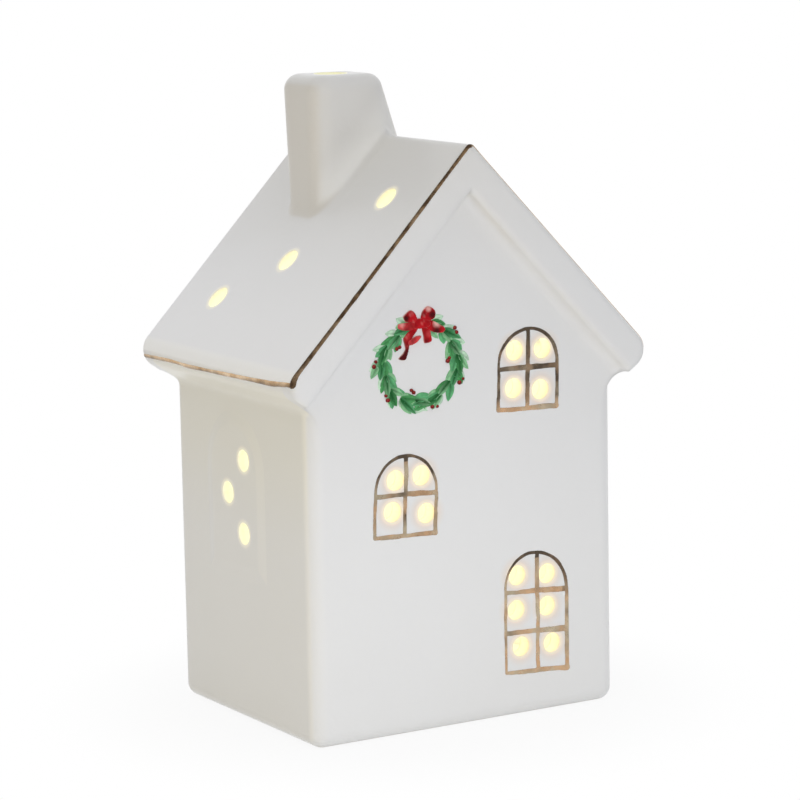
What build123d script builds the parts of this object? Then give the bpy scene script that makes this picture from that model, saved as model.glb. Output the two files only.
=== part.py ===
from build123d import *
from math import atan2, cos, hypot, pi, sin, tan
import os

# Walls, roof and floor of the hollow casting, in millimetres
WALL_WIDTH = 70.8
WALL_DEPTH = 55.9
EAVE_OVERHANG = 7.5
EAVE_DROP = 5.1
EAVE_HEIGHT = 72.1
RIDGE_HEIGHT = 116.8
GABLE_OVERHANG = 3.7
BARGE_WIDTH = 6.8
COVE_RADIUS = 2.2
BARGE_EDGE_RADIUS = 1.2
EAVE_COVE = 2.5
SHELL_THICKNESS = 3.5
WALL_EDGE_RADIUS = 3.0
BASE_EDGE_RADIUS = 2.8
EAVE_RADIUS = 3.9
RIDGE_RADIUS = 1.2
ROOF_EDGE_RADIUS = 0.9
FOOT_WIDTH = 6.5
FOOT_DEPTH = 2.5
FOOT_CORNER_RADIUS = 4.0
FLOOR_THICKNESS = 3.5
FLARE_RUN_SHARE = 1.5

# Chimney: its faces from the ridge line and the middle of the house, its height from the roof on the low side
CHIMNEY_LEFT = 15.8
CHIMNEY_TOP_RIGHT = 0.5
CHIMNEY_RIGHT_FLARE = 9.2
CHIMNEY_FRONT = 0.9
CHIMNEY_BACK = 17.1
CHIMNEY_BACK_TAPER = 2.0
CHIMNEY_HEIGHT = 28.3
CHIMNEY_EDGE_RADIUS = 4.2
CHIMNEY_TOP_RADIUS = 3.2
CHIMNEY_COVE = 3.0
CHIMNEY_WALL = 3.2
CHIMNEY_HOLE = 6.5

# Punched light holes
WINDOW_HOLE = 4.0
SIDE_HOLE = 4.5
ROOF_HOLE = 5.0
ROOF_HOLE_SLOPE_SHARES = (0.274, 0.46, 0.748)
ROOF_HOLE_LENGTH_SHARES = (0.499, 0.019, -0.545)

# Raised arched panel on each side wall
PANEL_WIDTH = 21.2
PANEL_SILL = 31.0
PANEL_HEIGHT = 31.0
PANEL_CENTRE = 2.2
PANEL_RAISE = 0.45
PANEL_RAMP = 2.6
PANEL_EDGE_RADIUS = 2.2
PANEL_HOLE_WIDTH_SHARES = (-0.194, 0.123, -0.175)
PANEL_HOLE_HEIGHT_SHARES = (0.735, 0.499, 0.256)

# Painted windows, raised by the thickness of the paint
PAINT_THICKNESS = 0.2
FRAME_LINE = 0.8
WINDOW_WIDTH = 14.85
UPPER_WINDOW_X = 14.95
UPPER_WINDOW_GAP = 6.2
UPPER_WINDOW_HEIGHT = 16.75
MIDDLE_WINDOW_X = -13.8
MIDDLE_WINDOW_DROP = 8.4
MIDDLE_WINDOW_HEIGHT = 16.95
LOWER_WINDOW_X = 16.3
LOWER_WINDOW_SILL = 8.4
LOWER_WINDOW_HEIGHT = 25.2
GOLD_LINE = 1.3

# How far each punched hole sits from the middle of its pane, as shares of the hole's width
UPPER_HOLE_SHIFT_SHARES = ((0.04, 0.11), (-0.23, -0.09), (0.13, -0.10), (-0.08, -0.14))
MIDDLE_HOLE_SHIFT_SHARES = ((0.11, 0.34), (0.18, 0.07), (0.31, -0.23), (-0.07, -0.14))
LOWER_HOLE_SHIFT_SHARES = (
    (-0.04, 0.44),
    (-0.04, 0.39),
    (-0.31, 0.25),
    (-0.32, 0.22),
    (-0.23, -0.09),
    (-0.30, -0.21),
)

# Wreath on the gable
WREATH_X = -10.35
WREATH_GAP = 7.15
WREATH_DIAMETER = 17.0
LEAF_LENGTH = 4.2
LEAF_WIDTH = 1.6
LEAF_TILT = 28.0
LEAF_COUNT = 22
BERRY_DIAMETER = 1.1
BERRY_COUNT = 11
BERRY_GAP = 48.0
BERRY_ROW_SHARES = (0.9, 1.08, 0.97)
BOW_WIDTH = 11.0
BOW_HEIGHT = 5.6
BOW_KNOT = 2.4
BOW_TAIL_LENGTH = 6.0
BOW_TAIL_WIDTH = 1.7
BOW_TAIL_SPREAD = 24.0

# Light unit in the floor
UNIT_ROOM = 1.5
UNIT_WALL = 1.6
UNIT_GAP = 1.25
UNIT_TOP_THICKNESS = 1.4
UNIT_TOP_BEVEL = 1.2
FLANGE_LIP = 2.5
FLANGE_THICKNESS = 1.6
FLANGE_CLEARANCE = 0.4
SPIGOT_HEIGHT = 1.4
SPIGOT_CLEARANCE = 0.2
GRIP_NOTCH = 5.0
GRIP_NOTCH_DEPTH = 1.2
RING_HEIGHT = 2.6
RING_LIFT = 0.5
RING_GROOVE = 0.6
RING_CLEARANCE = 0.1
RING_LIP = 0.4

# Button cells and their bay
CELL_DIAMETER = 11.6
CELL_THICKNESS = 5.4
CELL_COUNT = 3
CELL_RIM = 0.6
CELL_STEP = 0.3
CELL_CLEARANCE = 0.2
BAY_OFFSET = -1.5
BAY_WALL = 1.2
CONTACT_THICKNESS = 0.4
CONTACT_WIDTH = 7.0
CONTACT_TAB = 2.0
LEAF_REACH = 2.0
CONTACT_CLEARANCE = 0.1

# Battery door and the screws
DOOR_END_MARGIN = 1.0
DOOR_SIDE_MARGIN = 1.3
DOOR_THICKNESS = 1.5
DOOR_CLEARANCE = 0.2
DOOR_SCREW_LENGTH = 5.0
SCREW_DIAMETER = 1.8
SCREW_HEAD = 3.4
SCREW_HEAD_HEIGHT = 1.0
SCREW_SLOT = 0.5
SCREW_CLEARANCE = 0.1
SCREW_BOSS = 4.2
CASE_SCREW_LENGTH = 9.0
CASE_SCREW_ANGLES = (46.0, 134.0, 270.0)

# Circuit board, lamps, resistor and slide switch
BOARD_MARGIN = 0.7
BOARD_THICKNESS = 1.0
LED_DIAMETER = 5.0
LED_RIM = 5.6
LED_RIM_HEIGHT = 1.0
LED_HEIGHT = 8.4
LED_RADIUS = 5.5
LED_ANGLES = (90.0, 210.0, 330.0)
LED_CLEARANCE = 0.2
POST_DIAMETER = 2.4
POST_INSET = 0.5
POST_LENGTH = 3.0
POST_ANGLES = (30.0, 150.0, 270.0)
RESISTOR_LENGTH = 3.2
RESISTOR_WIDTH = 1.6
RESISTOR_HEIGHT = 0.6
RESISTOR_GAP = 0.7
SWITCH_LENGTH = 8.6
SWITCH_WIDTH = 3.6
SWITCH_HEIGHT = 3.7
SWITCH_WALL = 0.5
SWITCH_ROOM = 0.7
SWITCH_TRAVEL = 2.0
SLIDER_LENGTH = 3.6
SLIDER_THICKNESS = 1.0
KNOB_LENGTH = 1.8
KNOB_WIDTH = 1.6
KNOB_SHORT_OF_FACE = 0.3
SLIDE_CLEARANCE = 0.1
FINGER_RECESS = 9.0
FINGER_RECESS_WIDTH = 4.4
LEAD_DIAMETER = 1.1
LEAD_SPACING = 4.4
LEAD_BOW = 0.9

# How far cutting tools run past the faces they cut, how much of a corner a rim's fillet may fill and how
# much of the gable overhang its cove may fill
OVERRUN = 1.0
FILLET_LIMIT_SHARE = 0.95
COVE_LIMIT_SHARE = 0.62

# Places worked out from the sizes above
HALF_DEPTH = WALL_DEPTH / 2
WALL_HEIGHT = EAVE_HEIGHT - EAVE_DROP
EAVE_SPAN = WALL_WIDTH + 2 * EAVE_OVERHANG
SLOPE = atan2(RIDGE_HEIGHT - EAVE_HEIGHT, EAVE_SPAN / 2)
SLOPE_LENGTH = hypot(RIDGE_HEIGHT - EAVE_HEIGHT, EAVE_SPAN / 2)
ROOF_HALF_LENGTH = HALF_DEPTH + GABLE_OVERHANG
BARGE_PEAK = RIDGE_HEIGHT - BARGE_WIDTH / cos(SLOPE)
WREATH_TOP_LINE = BARGE_PEAK - abs(WREATH_X) * tan(SLOPE)
WREATH_HEIGHT = WREATH_TOP_LINE - (WREATH_DIAMETER / 2 + WREATH_GAP) / cos(SLOPE)
MIDDLE_WINDOW_SILL = WREATH_HEIGHT - WREATH_DIAMETER / 2 - MIDDLE_WINDOW_DROP - MIDDLE_WINDOW_HEIGHT
UPPER_WINDOW_TOP_LINE = BARGE_PEAK - abs(UPPER_WINDOW_X) * tan(SLOPE)
UPPER_WINDOW_SHOULDER = UPPER_WINDOW_TOP_LINE - (WINDOW_WIDTH / 2 + UPPER_WINDOW_GAP) / cos(SLOPE)
UPPER_WINDOW_SILL = UPPER_WINDOW_SHOULDER + WINDOW_WIDTH / 2 - UPPER_WINDOW_HEIGHT
CHIMNEY_TOP = RIDGE_HEIGHT - CHIMNEY_LEFT * tan(SLOPE) + CHIMNEY_HEIGHT
CHIMNEY_ROOT = CHIMNEY_TOP - CHIMNEY_HEIGHT - SHELL_THICKNESS
FLOOR_TOP = FOOT_DEPTH + FLOOR_THICKNESS
FLANGE_BOTTOM = FOOT_DEPTH - FLANGE_THICKNESS
PLATE_TOP = FOOT_DEPTH + SPIGOT_HEIGHT
DOOR_TOP = FLANGE_BOTTOM + DOOR_THICKNESS
STACK_LENGTH = CELL_COUNT * CELL_THICKNESS
BAY_LENGTH = STACK_LENGTH + 2 * CONTACT_THICKNESS + LEAF_REACH + 2 * CONTACT_CLEARANCE
BAY_WIDTH = CELL_DIAMETER + 2 * CELL_CLEARANCE
BAY_CEILING = DOOR_TOP + CELL_DIAMETER + 2 * CELL_CLEARANCE
BAY_TOP = BAY_CEILING + BAY_WALL
CELL_AXIS = DOOR_TOP + CELL_CLEARANCE + CELL_DIAMETER / 2
STACK_RIGHT = BAY_LENGTH / 2 - CONTACT_THICKNESS - CONTACT_CLEARANCE
BAY_CORNER = hypot(BAY_LENGTH / 2 + BAY_WALL, abs(BAY_OFFSET) + BAY_WIDTH / 2 + BAY_WALL)
UNIT_BODY = 2 * (BAY_CORNER + UNIT_ROOM + UNIT_WALL)
UNIT_HOLE = UNIT_BODY + 2 * UNIT_GAP
FLANGE_DIAMETER = UNIT_HOLE + 2 * FLANGE_LIP
CASE_SCREW_RADIUS = UNIT_BODY / 2 - UNIT_WALL - SPIGOT_CLEARANCE - SCREW_BOSS / 2
DOOR_SCREW_SPACING = BAY_LENGTH + BAY_WALL + SCREW_BOSS
DOOR_LENGTH = DOOR_SCREW_SPACING + SCREW_HEAD + 2 * DOOR_END_MARGIN
DOOR_WIDTH = BAY_WIDTH + 2 * DOOR_SIDE_MARGIN
BOARD_TOP = BAY_TOP + BOARD_THICKNESS
BOARD_DIAMETER = BAY_LENGTH + 2 * BOARD_MARGIN
POST_RADIUS = BOARD_DIAMETER / 2 - POST_DIAMETER / 2 - POST_INSET
RESISTOR_OFFSET = POST_DIAMETER / 2 + RESISTOR_GAP + RESISTOR_WIDTH / 2 - POST_RADIUS
SHELL_CEILING = BOARD_TOP + POST_LENGTH
SHELL_TOP = SHELL_CEILING + UNIT_TOP_THICKNESS
SWITCH_OFFSET = BAY_OFFSET + BAY_WIDTH / 2 + BAY_WALL + SWITCH_ROOM + SWITCH_WIDTH / 2
SWITCH_TOP = PLATE_TOP + SWITCH_HEIGHT
SLIDER_REST = SWITCH_TRAVEL / 2


def outline_face(points):
    return Sketch() + make_face(Polyline(*points, close=True))


def along_y(outline, half_length):
    return extrude(Plane.XZ * outline, half_length, both=True)


def on_wall(x, height, outline, thickness, depth=0):
    """A flat shape drawn on the front wall, raised towards the viewer."""
    return extrude(Plane.XZ.offset(HALF_DEPTH + depth) * Pos(x, height) * outline, thickness)


def slope_height(x):
    return RIDGE_HEIGHT - abs(x) * tan(SLOPE)


def polar(radius, angle):
    turn = angle * pi / 180
    return radius * cos(turn), radius * sin(turn)


def cylinder_up(diameter, bottom, top, x=0, y=0):
    return Pos(x, y, bottom) * extrude(Circle(diameter / 2), top - bottom)


def box_up(length, width, bottom, top, x=0, y=0):
    return Pos(x, y, bottom) * extrude(Rectangle(length, width), top - bottom)


# The casting

def roof_outline():
    eave = EAVE_SPAN / 2
    run_x = eave - FLARE_RUN_SHARE * (eave - WALL_WIDTH / 2)
    run_z = EAVE_HEIGHT - FLARE_RUN_SHARE * (EAVE_HEIGHT - WALL_HEIGHT)
    points = [(-eave, EAVE_HEIGHT), (0, RIDGE_HEIGHT), (eave, EAVE_HEIGHT), (run_x, run_z), (-run_x, run_z)]
    outline = outline_face(points)
    outline = fillet(outline.vertices().sort_by(Axis.Y)[-1:], RIDGE_RADIUS)
    by_side = outline.vertices().sort_by(Axis.X)
    return fillet([by_side[0], by_side[-1]], EAVE_RADIUS)


def roof_block(paint=0):
    outline = roof_outline()
    if paint:
        outline = offset(outline, paint)
    block = along_y(outline, ROOF_HALF_LENGTH + paint)
    ends = block.faces().sort_by(Axis.Y)
    edges = ends[0].edges().sort_by(Axis.Z)[1:] + ends[-1].edges().sort_by(Axis.Z)[1:]
    return fillet(edges, ROOF_EDGE_RADIUS + paint)


def gable_recess():
    """What is cut away under the front roof edge: coved at its back, with a rounded mouth."""
    reach = EAVE_SPAN / 2 + OVERRUN
    foot = BARGE_PEAK - reach * tan(SLOPE)
    points = [(0, BARGE_PEAK), (reach, foot), (reach, 0), (-reach, 0), (-reach, foot)]
    cutter = extrude(Plane.XZ.offset(HALF_DEPTH) * outline_face(points), GABLE_OVERHANG)
    back_edges = cutter.faces().sort_by(Axis.Y)[-1].edges().sort_by(Axis.Z)[-2:]
    cutter = fillet(back_edges, min(COVE_RADIUS, COVE_LIMIT_SHARE * GABLE_OVERHANG))
    front = Pos(0, RIDGE_HEIGHT / 2) * Rectangle(2 * reach, RIDGE_HEIGHT + 2 * OVERRUN)
    mouth = extrude(Plane.XZ.offset(ROOF_HALF_LENGTH) * front, OVERRUN)
    tool = cutter + mouth
    rim = tool.faces().filter_by(Axis.Y).group_by(Axis.Y)[1].edges()
    slanting = rim.filter_by(Axis.X, reverse=True).filter_by(Axis.Z, reverse=True)
    return fillet(slanting, min(BARGE_EDGE_RADIUS, GABLE_OVERHANG / 3))


def wall_block():
    plan = RectangleRounded(WALL_WIDTH, WALL_DEPTH, WALL_EDGE_RADIUS)
    block = extrude(plan, RIDGE_HEIGHT)
    lowest = block.faces().sort_by(Axis.Z)[0]
    block = fillet(lowest.edges(), min(BASE_EDGE_RADIUS, FILLET_LIMIT_SHARE * WALL_EDGE_RADIUS))
    eave = EAVE_SPAN / 2
    drop = SHELL_THICKNESS / 2
    shoulder = EAVE_HEIGHT - drop
    points = [(-eave, 0), (-eave, shoulder), (0, RIDGE_HEIGHT - drop), (eave, shoulder), (eave, 0)]
    return block & along_y(outline_face(points), WALL_DEPTH)


def chimney_section(height, inset=0):
    """The chimney's outline at a height: its right side spreads and its back draws in towards the roof."""
    drop_share = (CHIMNEY_TOP - height) / CHIMNEY_HEIGHT
    right = CHIMNEY_TOP_RIGHT + CHIMNEY_RIGHT_FLARE * drop_share - inset
    back = CHIMNEY_BACK - CHIMNEY_BACK_TAPER * drop_share - inset
    left = -CHIMNEY_LEFT + inset
    front = CHIMNEY_FRONT + inset
    radius = max(CHIMNEY_EDGE_RADIUS - inset, CHIMNEY_EDGE_RADIUS / 2)
    outline = RectangleRounded(right - left, back - front, radius)
    return Pos((left + right) / 2, (front + back) / 2, height) * outline


def chimney():
    stack = loft([chimney_section(CHIMNEY_ROOT), chimney_section(CHIMNEY_TOP)])
    rim = stack.faces().sort_by(Axis.Z)[-1].edges()
    return fillet(rim, min(CHIMNEY_TOP_RADIUS, FILLET_LIMIT_SHARE * CHIMNEY_EDGE_RADIUS))


def flue():
    ceiling = CHIMNEY_TOP - CHIMNEY_WALL
    shaft = loft([chimney_section(CHIMNEY_ROOT, CHIMNEY_WALL), chimney_section(ceiling, CHIMNEY_WALL)])
    x = (CHIMNEY_TOP_RIGHT - CHIMNEY_LEFT) / 2
    y = (CHIMNEY_FRONT + CHIMNEY_BACK) / 2
    return shaft + cylinder_up(CHIMNEY_HOLE, ceiling - OVERRUN, CHIMNEY_TOP + OVERRUN, x, y)


def chamber():
    """The hollow inside: the house outline drawn in by the thickness of the casting."""
    wall = WALL_WIDTH / 2
    eave = EAVE_SPAN / 2
    sill = FLOOR_TOP - SHELL_THICKNESS
    points = [(-wall, sill), (-wall, WALL_HEIGHT), (-eave, EAVE_HEIGHT), (0, RIDGE_HEIGHT)]
    points += [(-x, z) for x, z in reversed(points[:-1])]
    inside = offset(outline_face(points), -SHELL_THICKNESS, kind=Kind.INTERSECTION)
    return along_y(inside, HALF_DEPTH - SHELL_THICKNESS)


def arch(width, height):
    """An upright window outline with a half-round top, its sill on the X axis."""
    shoulder = height - width / 2
    block = Pos(0, shoulder / 2) * Rectangle(width, shoulder)
    return block + Pos(0, shoulder) * Circle(width / 2)


def side_panel():
    """The raised arched panel on the left wall, with sloping sides."""
    spot = Pos(PANEL_CENTRE, PANEL_SILL)
    half_ramp = PANEL_RAMP / 2
    face = spot * Pos(0, half_ramp) * arch(PANEL_WIDTH - PANEL_RAMP, PANEL_HEIGHT - PANEL_RAMP)
    foot = spot * Pos(0, -half_ramp) * arch(PANEL_WIDTH + PANEL_RAMP, PANEL_HEIGHT + PANEL_RAMP)
    wall = Plane.YZ.offset(-WALL_WIDTH / 2)
    panel = loft([wall.offset(-PANEL_RAISE) * face, wall * foot])
    outer = panel.faces().sort_by(Axis.X)[0]
    panel = fillet(outer.edges(), min(PANEL_EDGE_RADIUS, PANEL_RAMP))
    return panel + extrude(wall * foot, OVERRUN)


def side_holes():
    length = SHELL_THICKNESS + PANEL_RAISE + 2 * OVERRUN
    plane = Plane.YZ.offset(-WALL_WIDTH / 2 - PANEL_RAISE - OVERRUN)
    holes = []
    for across, up in zip(PANEL_HOLE_WIDTH_SHARES, PANEL_HOLE_HEIGHT_SHARES):
        spot = Pos(PANEL_CENTRE + across * PANEL_WIDTH, PANEL_SILL + up * PANEL_HEIGHT)
        holes.append(extrude(plane * spot * Circle(SIDE_HOLE / 2), length))
    return holes


def roof_holes():
    """A slanting row of holes square to the left roof slope."""
    up_slope = (cos(SLOPE), 0, sin(SLOPE))
    outward = (-sin(SLOPE), 0, cos(SLOPE))
    plane = Plane((-EAVE_SPAN / 2, 0, EAVE_HEIGHT), x_dir=up_slope, z_dir=outward)
    depth = SHELL_THICKNESS + OVERRUN
    holes = []
    for up, along in zip(ROOF_HOLE_SLOPE_SHARES, ROOF_HOLE_LENGTH_SHARES):
        spot = Pos(up * SLOPE_LENGTH, along * ROOF_HALF_LENGTH, -depth)
        holes.append(plane * spot * extrude(Circle(ROOF_HOLE / 2), depth + OVERRUN))
    return holes


def window_table():
    """Each painted window: middle, sill, height, rows of panes and the shifts of its holes."""
    return {
        "upper": (UPPER_WINDOW_X, UPPER_WINDOW_SILL, UPPER_WINDOW_HEIGHT, 2, UPPER_HOLE_SHIFT_SHARES),
        "middle": (MIDDLE_WINDOW_X, MIDDLE_WINDOW_SILL, MIDDLE_WINDOW_HEIGHT, 2, MIDDLE_HOLE_SHIFT_SHARES),
        "lower": (LOWER_WINDOW_X, LOWER_WINDOW_SILL, LOWER_WINDOW_HEIGHT, 3, LOWER_HOLE_SHIFT_SHARES),
    }


def window_holes(middle, sill, height, rows, shift_shares):
    """One hole in each pane, two panes to a row."""
    length = SHELL_THICKNESS + 2 * OVERRUN
    plane = Plane.XZ.offset(HALF_DEPTH - SHELL_THICKNESS - OVERRUN)
    holes = []
    for index, (across, up) in enumerate(shift_shares):
        row, column = divmod(index, 2)
        x = middle + WINDOW_WIDTH * (column - 1 / 2) / 2 + across * WINDOW_HOLE
        z = sill + height * (row + 1 / 2) / rows + up * WINDOW_HOLE
        holes.append(extrude(plane * Pos(x, z) * Circle(WINDOW_HOLE / 2), length))
    return holes


def roofed_walls():
    """Roof and walls in one, with a cove under each eave."""
    recess = gable_recess()
    roof = roof_block() - [recess, mirror(recess, Plane.XZ)]
    walls = wall_block()
    body = roof + walls
    under_eaves = new_edges(roof, walls, combined=body).filter_by(Axis.Y)
    return fillet(under_eaves, EAVE_COVE)


def ceramic_house():
    panel = side_panel()
    body = roofed_walls()
    stack = chimney()
    house = body + stack
    house = fillet(new_edges(body, stack, combined=house), CHIMNEY_COVE)
    house += [panel, mirror(panel, Plane.YZ)]
    foot = RectangleRounded(WALL_WIDTH - 2 * FOOT_WIDTH, WALL_DEPTH - 2 * FOOT_WIDTH, FOOT_CORNER_RADIUS)
    cuts = [chamber(), flue(), extrude(foot, FOOT_DEPTH)]
    cuts.append(cylinder_up(FLANGE_DIAMETER + 2 * FLANGE_CLEARANCE, 0, FOOT_DEPTH))
    cuts.append(cylinder_up(UNIT_HOLE, FOOT_DEPTH - OVERRUN, FLOOR_TOP + OVERRUN))
    for hole in side_holes() + roof_holes():
        cuts += [hole, mirror(hole, Plane.YZ)]
    for window in window_table().values():
        cuts += window_holes(*window)
    return house - cuts


# Paint: gold lines and the wreath

def edge_strip(start, end, outward):
    """A slab as wide as the gold line, standing on a roof edge."""
    middle = (start + end) * (1 / 2)
    run = end - start
    plane = Plane(middle, x_dir=run.normalized(), z_dir=outward.normalized())
    height = 2 * (EAVE_RADIUS + GOLD_LINE)
    return plane * Box(run.length + GOLD_LINE, GOLD_LINE, height)


def gold_roof_edging():
    front = -ROOF_HALF_LENGTH
    eave = EAVE_SPAN / 2
    peak = Vector(0, front, RIDGE_HEIGHT)
    strips = []
    for side in (-1, 1):
        corner = Vector(side * eave, front, EAVE_HEIGHT)
        far_corner = Vector(side * eave, -front, EAVE_HEIGHT)
        upward = Vector(side * sin(SLOPE), 0, cos(SLOPE))
        down_slope = Vector(side * cos(SLOPE), 0, -sin(SLOPE))
        strips.append(edge_strip(corner, peak, upward + Vector(0, -1, 0)))
        strips.append(edge_strip(corner, far_corner, upward + down_slope))
    skin = roof_block(PAINT_THICKNESS) - roof_block()
    return skin & (Part() + strips)


def gold_window(middle, sill, height, rows, shift_shares):
    outer = arch(WINDOW_WIDTH, height)
    inner = Pos(0, FRAME_LINE) * arch(WINDOW_WIDTH - 2 * FRAME_LINE, height - 2 * FRAME_LINE)
    bars = Pos(0, height / 2) * Rectangle(FRAME_LINE, height)
    for row in range(1, rows):
        bars += Pos(0, row * height / rows) * Rectangle(WINDOW_WIDTH, FRAME_LINE)
    frame = on_wall(middle, sill, (outer - inner) + (bars & outer), PAINT_THICKNESS)
    return frame - window_holes(middle, sill, height, rows, shift_shares)


def leaf():
    """A pointed leaf that starts at the origin and lies along X."""
    half = LEAF_WIDTH / 2
    upper = ThreePointArc((0, 0), (LEAF_LENGTH / 2, half), (LEAF_LENGTH, 0))
    lower = ThreePointArc((LEAF_LENGTH, 0), (LEAF_LENGTH / 2, -half), (0, 0))
    return Sketch() + make_face(upper + lower)


def wreath_leaves():
    """Leaves in two rows round a ring, one row leaning out and one leaning in."""
    stem = Circle((WREATH_DIAMETER + LEAF_WIDTH) / 2) - Circle((WREATH_DIAMETER - LEAF_WIDTH) / 2)
    leaves = []
    for index in range(LEAF_COUNT):
        for side in (-1, 1):
            angle = 360 * (index + (1 + side) / 4) / LEAF_COUNT
            x, y = polar(WREATH_DIAMETER / 2, angle)
            leaves.append(Pos(x, y) * Rot(0, 0, angle + 90 - side * LEAF_TILT) * leaf())
    return on_wall(WREATH_X, WREATH_HEIGHT, stem + leaves, PAINT_THICKNESS)


def wreath_berries():
    berries = []
    for index in range(BERRY_COUNT):
        share = BERRY_ROW_SHARES[index % len(BERRY_ROW_SHARES)]
        angle = 90 + BERRY_GAP + (360 - 2 * BERRY_GAP) * index / (BERRY_COUNT - 1)
        berries.append(Pos(*polar(share * WREATH_DIAMETER / 2, angle)) * Circle(BERRY_DIAMETER / 2))
    return on_wall(WREATH_X, WREATH_HEIGHT, Sketch() + berries, PAINT_THICKNESS, PAINT_THICKNESS)


def wreath_bow():
    """Two loops, two tails and a knot at the top of the ring."""
    loop_points = [(0, 0), (BOW_WIDTH / 2, BOW_HEIGHT / 2), (BOW_WIDTH / 2, -BOW_HEIGHT / 4)]
    loop = outline_face(loop_points)
    loop = fillet(loop.vertices().sort_by(Axis.X)[1:], BOW_KNOT / 2)
    tail_points = [(-BOW_TAIL_WIDTH / 4, 0), (BOW_TAIL_WIDTH / 4, 0), (BOW_TAIL_WIDTH / 2, -BOW_TAIL_LENGTH)]
    tail_points += [(0, BOW_TAIL_WIDTH / 2 - BOW_TAIL_LENGTH), (-BOW_TAIL_WIDTH / 2, -BOW_TAIL_LENGTH)]
    tail = Rot(0, 0, BOW_TAIL_SPREAD) * outline_face(tail_points)
    half = loop + tail
    bow = half + mirror(half, Plane.YZ) + Circle(BOW_KNOT / 2)
    return on_wall(WREATH_X, WREATH_HEIGHT + WREATH_DIAMETER / 2, bow, PAINT_THICKNESS, PAINT_THICKNESS)


# The light unit

def case_screw_spots():
    return [polar(CASE_SCREW_RADIUS, angle) for angle in CASE_SCREW_ANGLES]


def door_screw_spots():
    return [(side * DOOR_SCREW_SPACING / 2, BAY_OFFSET) for side in (-1, 1)]


def screw(length):
    """A pan-head screw, head down, with the underside of its head at the origin."""
    shank = extrude(Circle(SCREW_DIAMETER / 2), length)
    head = Pos(0, 0, -SCREW_HEAD_HEIGHT) * extrude(Circle(SCREW_HEAD / 2), SCREW_HEAD_HEIGHT)
    head = chamfer(head.faces().sort_by(Axis.Z)[0].edges(), SCREW_HEAD_HEIGHT / 3)
    slot_depth = SCREW_HEAD_HEIGHT / 2
    cross = box_up(SCREW_HEAD / 2, SCREW_SLOT, -SCREW_HEAD_HEIGHT, slot_depth - SCREW_HEAD_HEIGHT)
    return shank + head - [cross, Rot(0, 0, 90) * cross]


def screw_seat(top, x, y):
    """A clearance hole with a counterbore, cut from the underside of the plate."""
    hole = cylinder_up(SCREW_DIAMETER + 2 * SCREW_CLEARANCE, -OVERRUN, top, x, y)
    head = SCREW_HEAD + 2 * SCREW_CLEARANCE
    return hole + cylinder_up(head, -OVERRUN, FLANGE_BOTTOM + SCREW_HEAD_HEIGHT, x, y)


def door_outline(clearance=0):
    return SlotOverall(DOOR_LENGTH + 2 * clearance, DOOR_WIDTH + 2 * clearance)


def contact_slots():
    """Slots in the ceiling of the bay where the contacts' tabs pass up to the board."""
    width = CONTACT_TAB + 2 * CONTACT_CLEARANCE
    thickness = CONTACT_THICKNESS + 2 * CONTACT_CLEARANCE
    x = BAY_LENGTH / 2 - CONTACT_THICKNESS / 2
    top = BAY_TOP + OVERRUN
    return [box_up(thickness, width, BAY_CEILING - OVERRUN, top, side * x, BAY_OFFSET) for side in (-1, 1)]


def unit_base_plate():
    spigot = UNIT_BODY - 2 * UNIT_WALL - 2 * SPIGOT_CLEARANCE
    plate = cylinder_up(FLANGE_DIAMETER, FLANGE_BOTTOM, FOOT_DEPTH)
    plate += cylinder_up(spigot, FOOT_DEPTH, PLATE_TOP)
    plate += box_up(BAY_LENGTH + 2 * BAY_WALL, BAY_WIDTH + 2 * BAY_WALL, FOOT_DEPTH, BAY_TOP, 0, BAY_OFFSET)
    boss_top = PLATE_TOP + DOOR_SCREW_LENGTH
    cuts = [box_up(BAY_LENGTH, BAY_WIDTH, 0, BAY_CEILING, 0, BAY_OFFSET)]
    cuts.append(Pos(0, BAY_OFFSET, 0) * extrude(door_outline(DOOR_CLEARANCE), DOOR_TOP))
    for x, y in door_screw_spots():
        plate += cylinder_up(SCREW_BOSS, FOOT_DEPTH, boss_top, x, y)
        cuts.append(cylinder_up(SCREW_DIAMETER + 2 * SCREW_CLEARANCE, 0, boss_top + OVERRUN, x, y))
    for x, y in case_screw_spots():
        cuts.append(screw_seat(PLATE_TOP + OVERRUN, x, y))
    slot_length = KNOB_LENGTH + SWITCH_TRAVEL + 2 * SLIDE_CLEARANCE
    slot_width = KNOB_WIDTH + 2 * SLIDE_CLEARANCE
    cuts.append(box_up(slot_length, slot_width, 0, PLATE_TOP + OVERRUN, 0, SWITCH_OFFSET))
    recess = SlotOverall(FINGER_RECESS, FINGER_RECESS_WIDTH)
    cuts.append(Pos(0, SWITCH_OFFSET, 0) * extrude(recess, FLANGE_BOTTOM + FLANGE_THICKNESS / 2))
    for side in (-1, 1):
        notch = SlotOverall(GRIP_NOTCH, 2 * GRIP_NOTCH_DEPTH, rotation=90)
        place = Pos(side * FLANGE_DIAMETER / 2, 0, 0)
        cuts.append(place * extrude(notch, FLANGE_BOTTOM + FLANGE_THICKNESS / 2))
    return plate - cuts - contact_slots()


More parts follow.
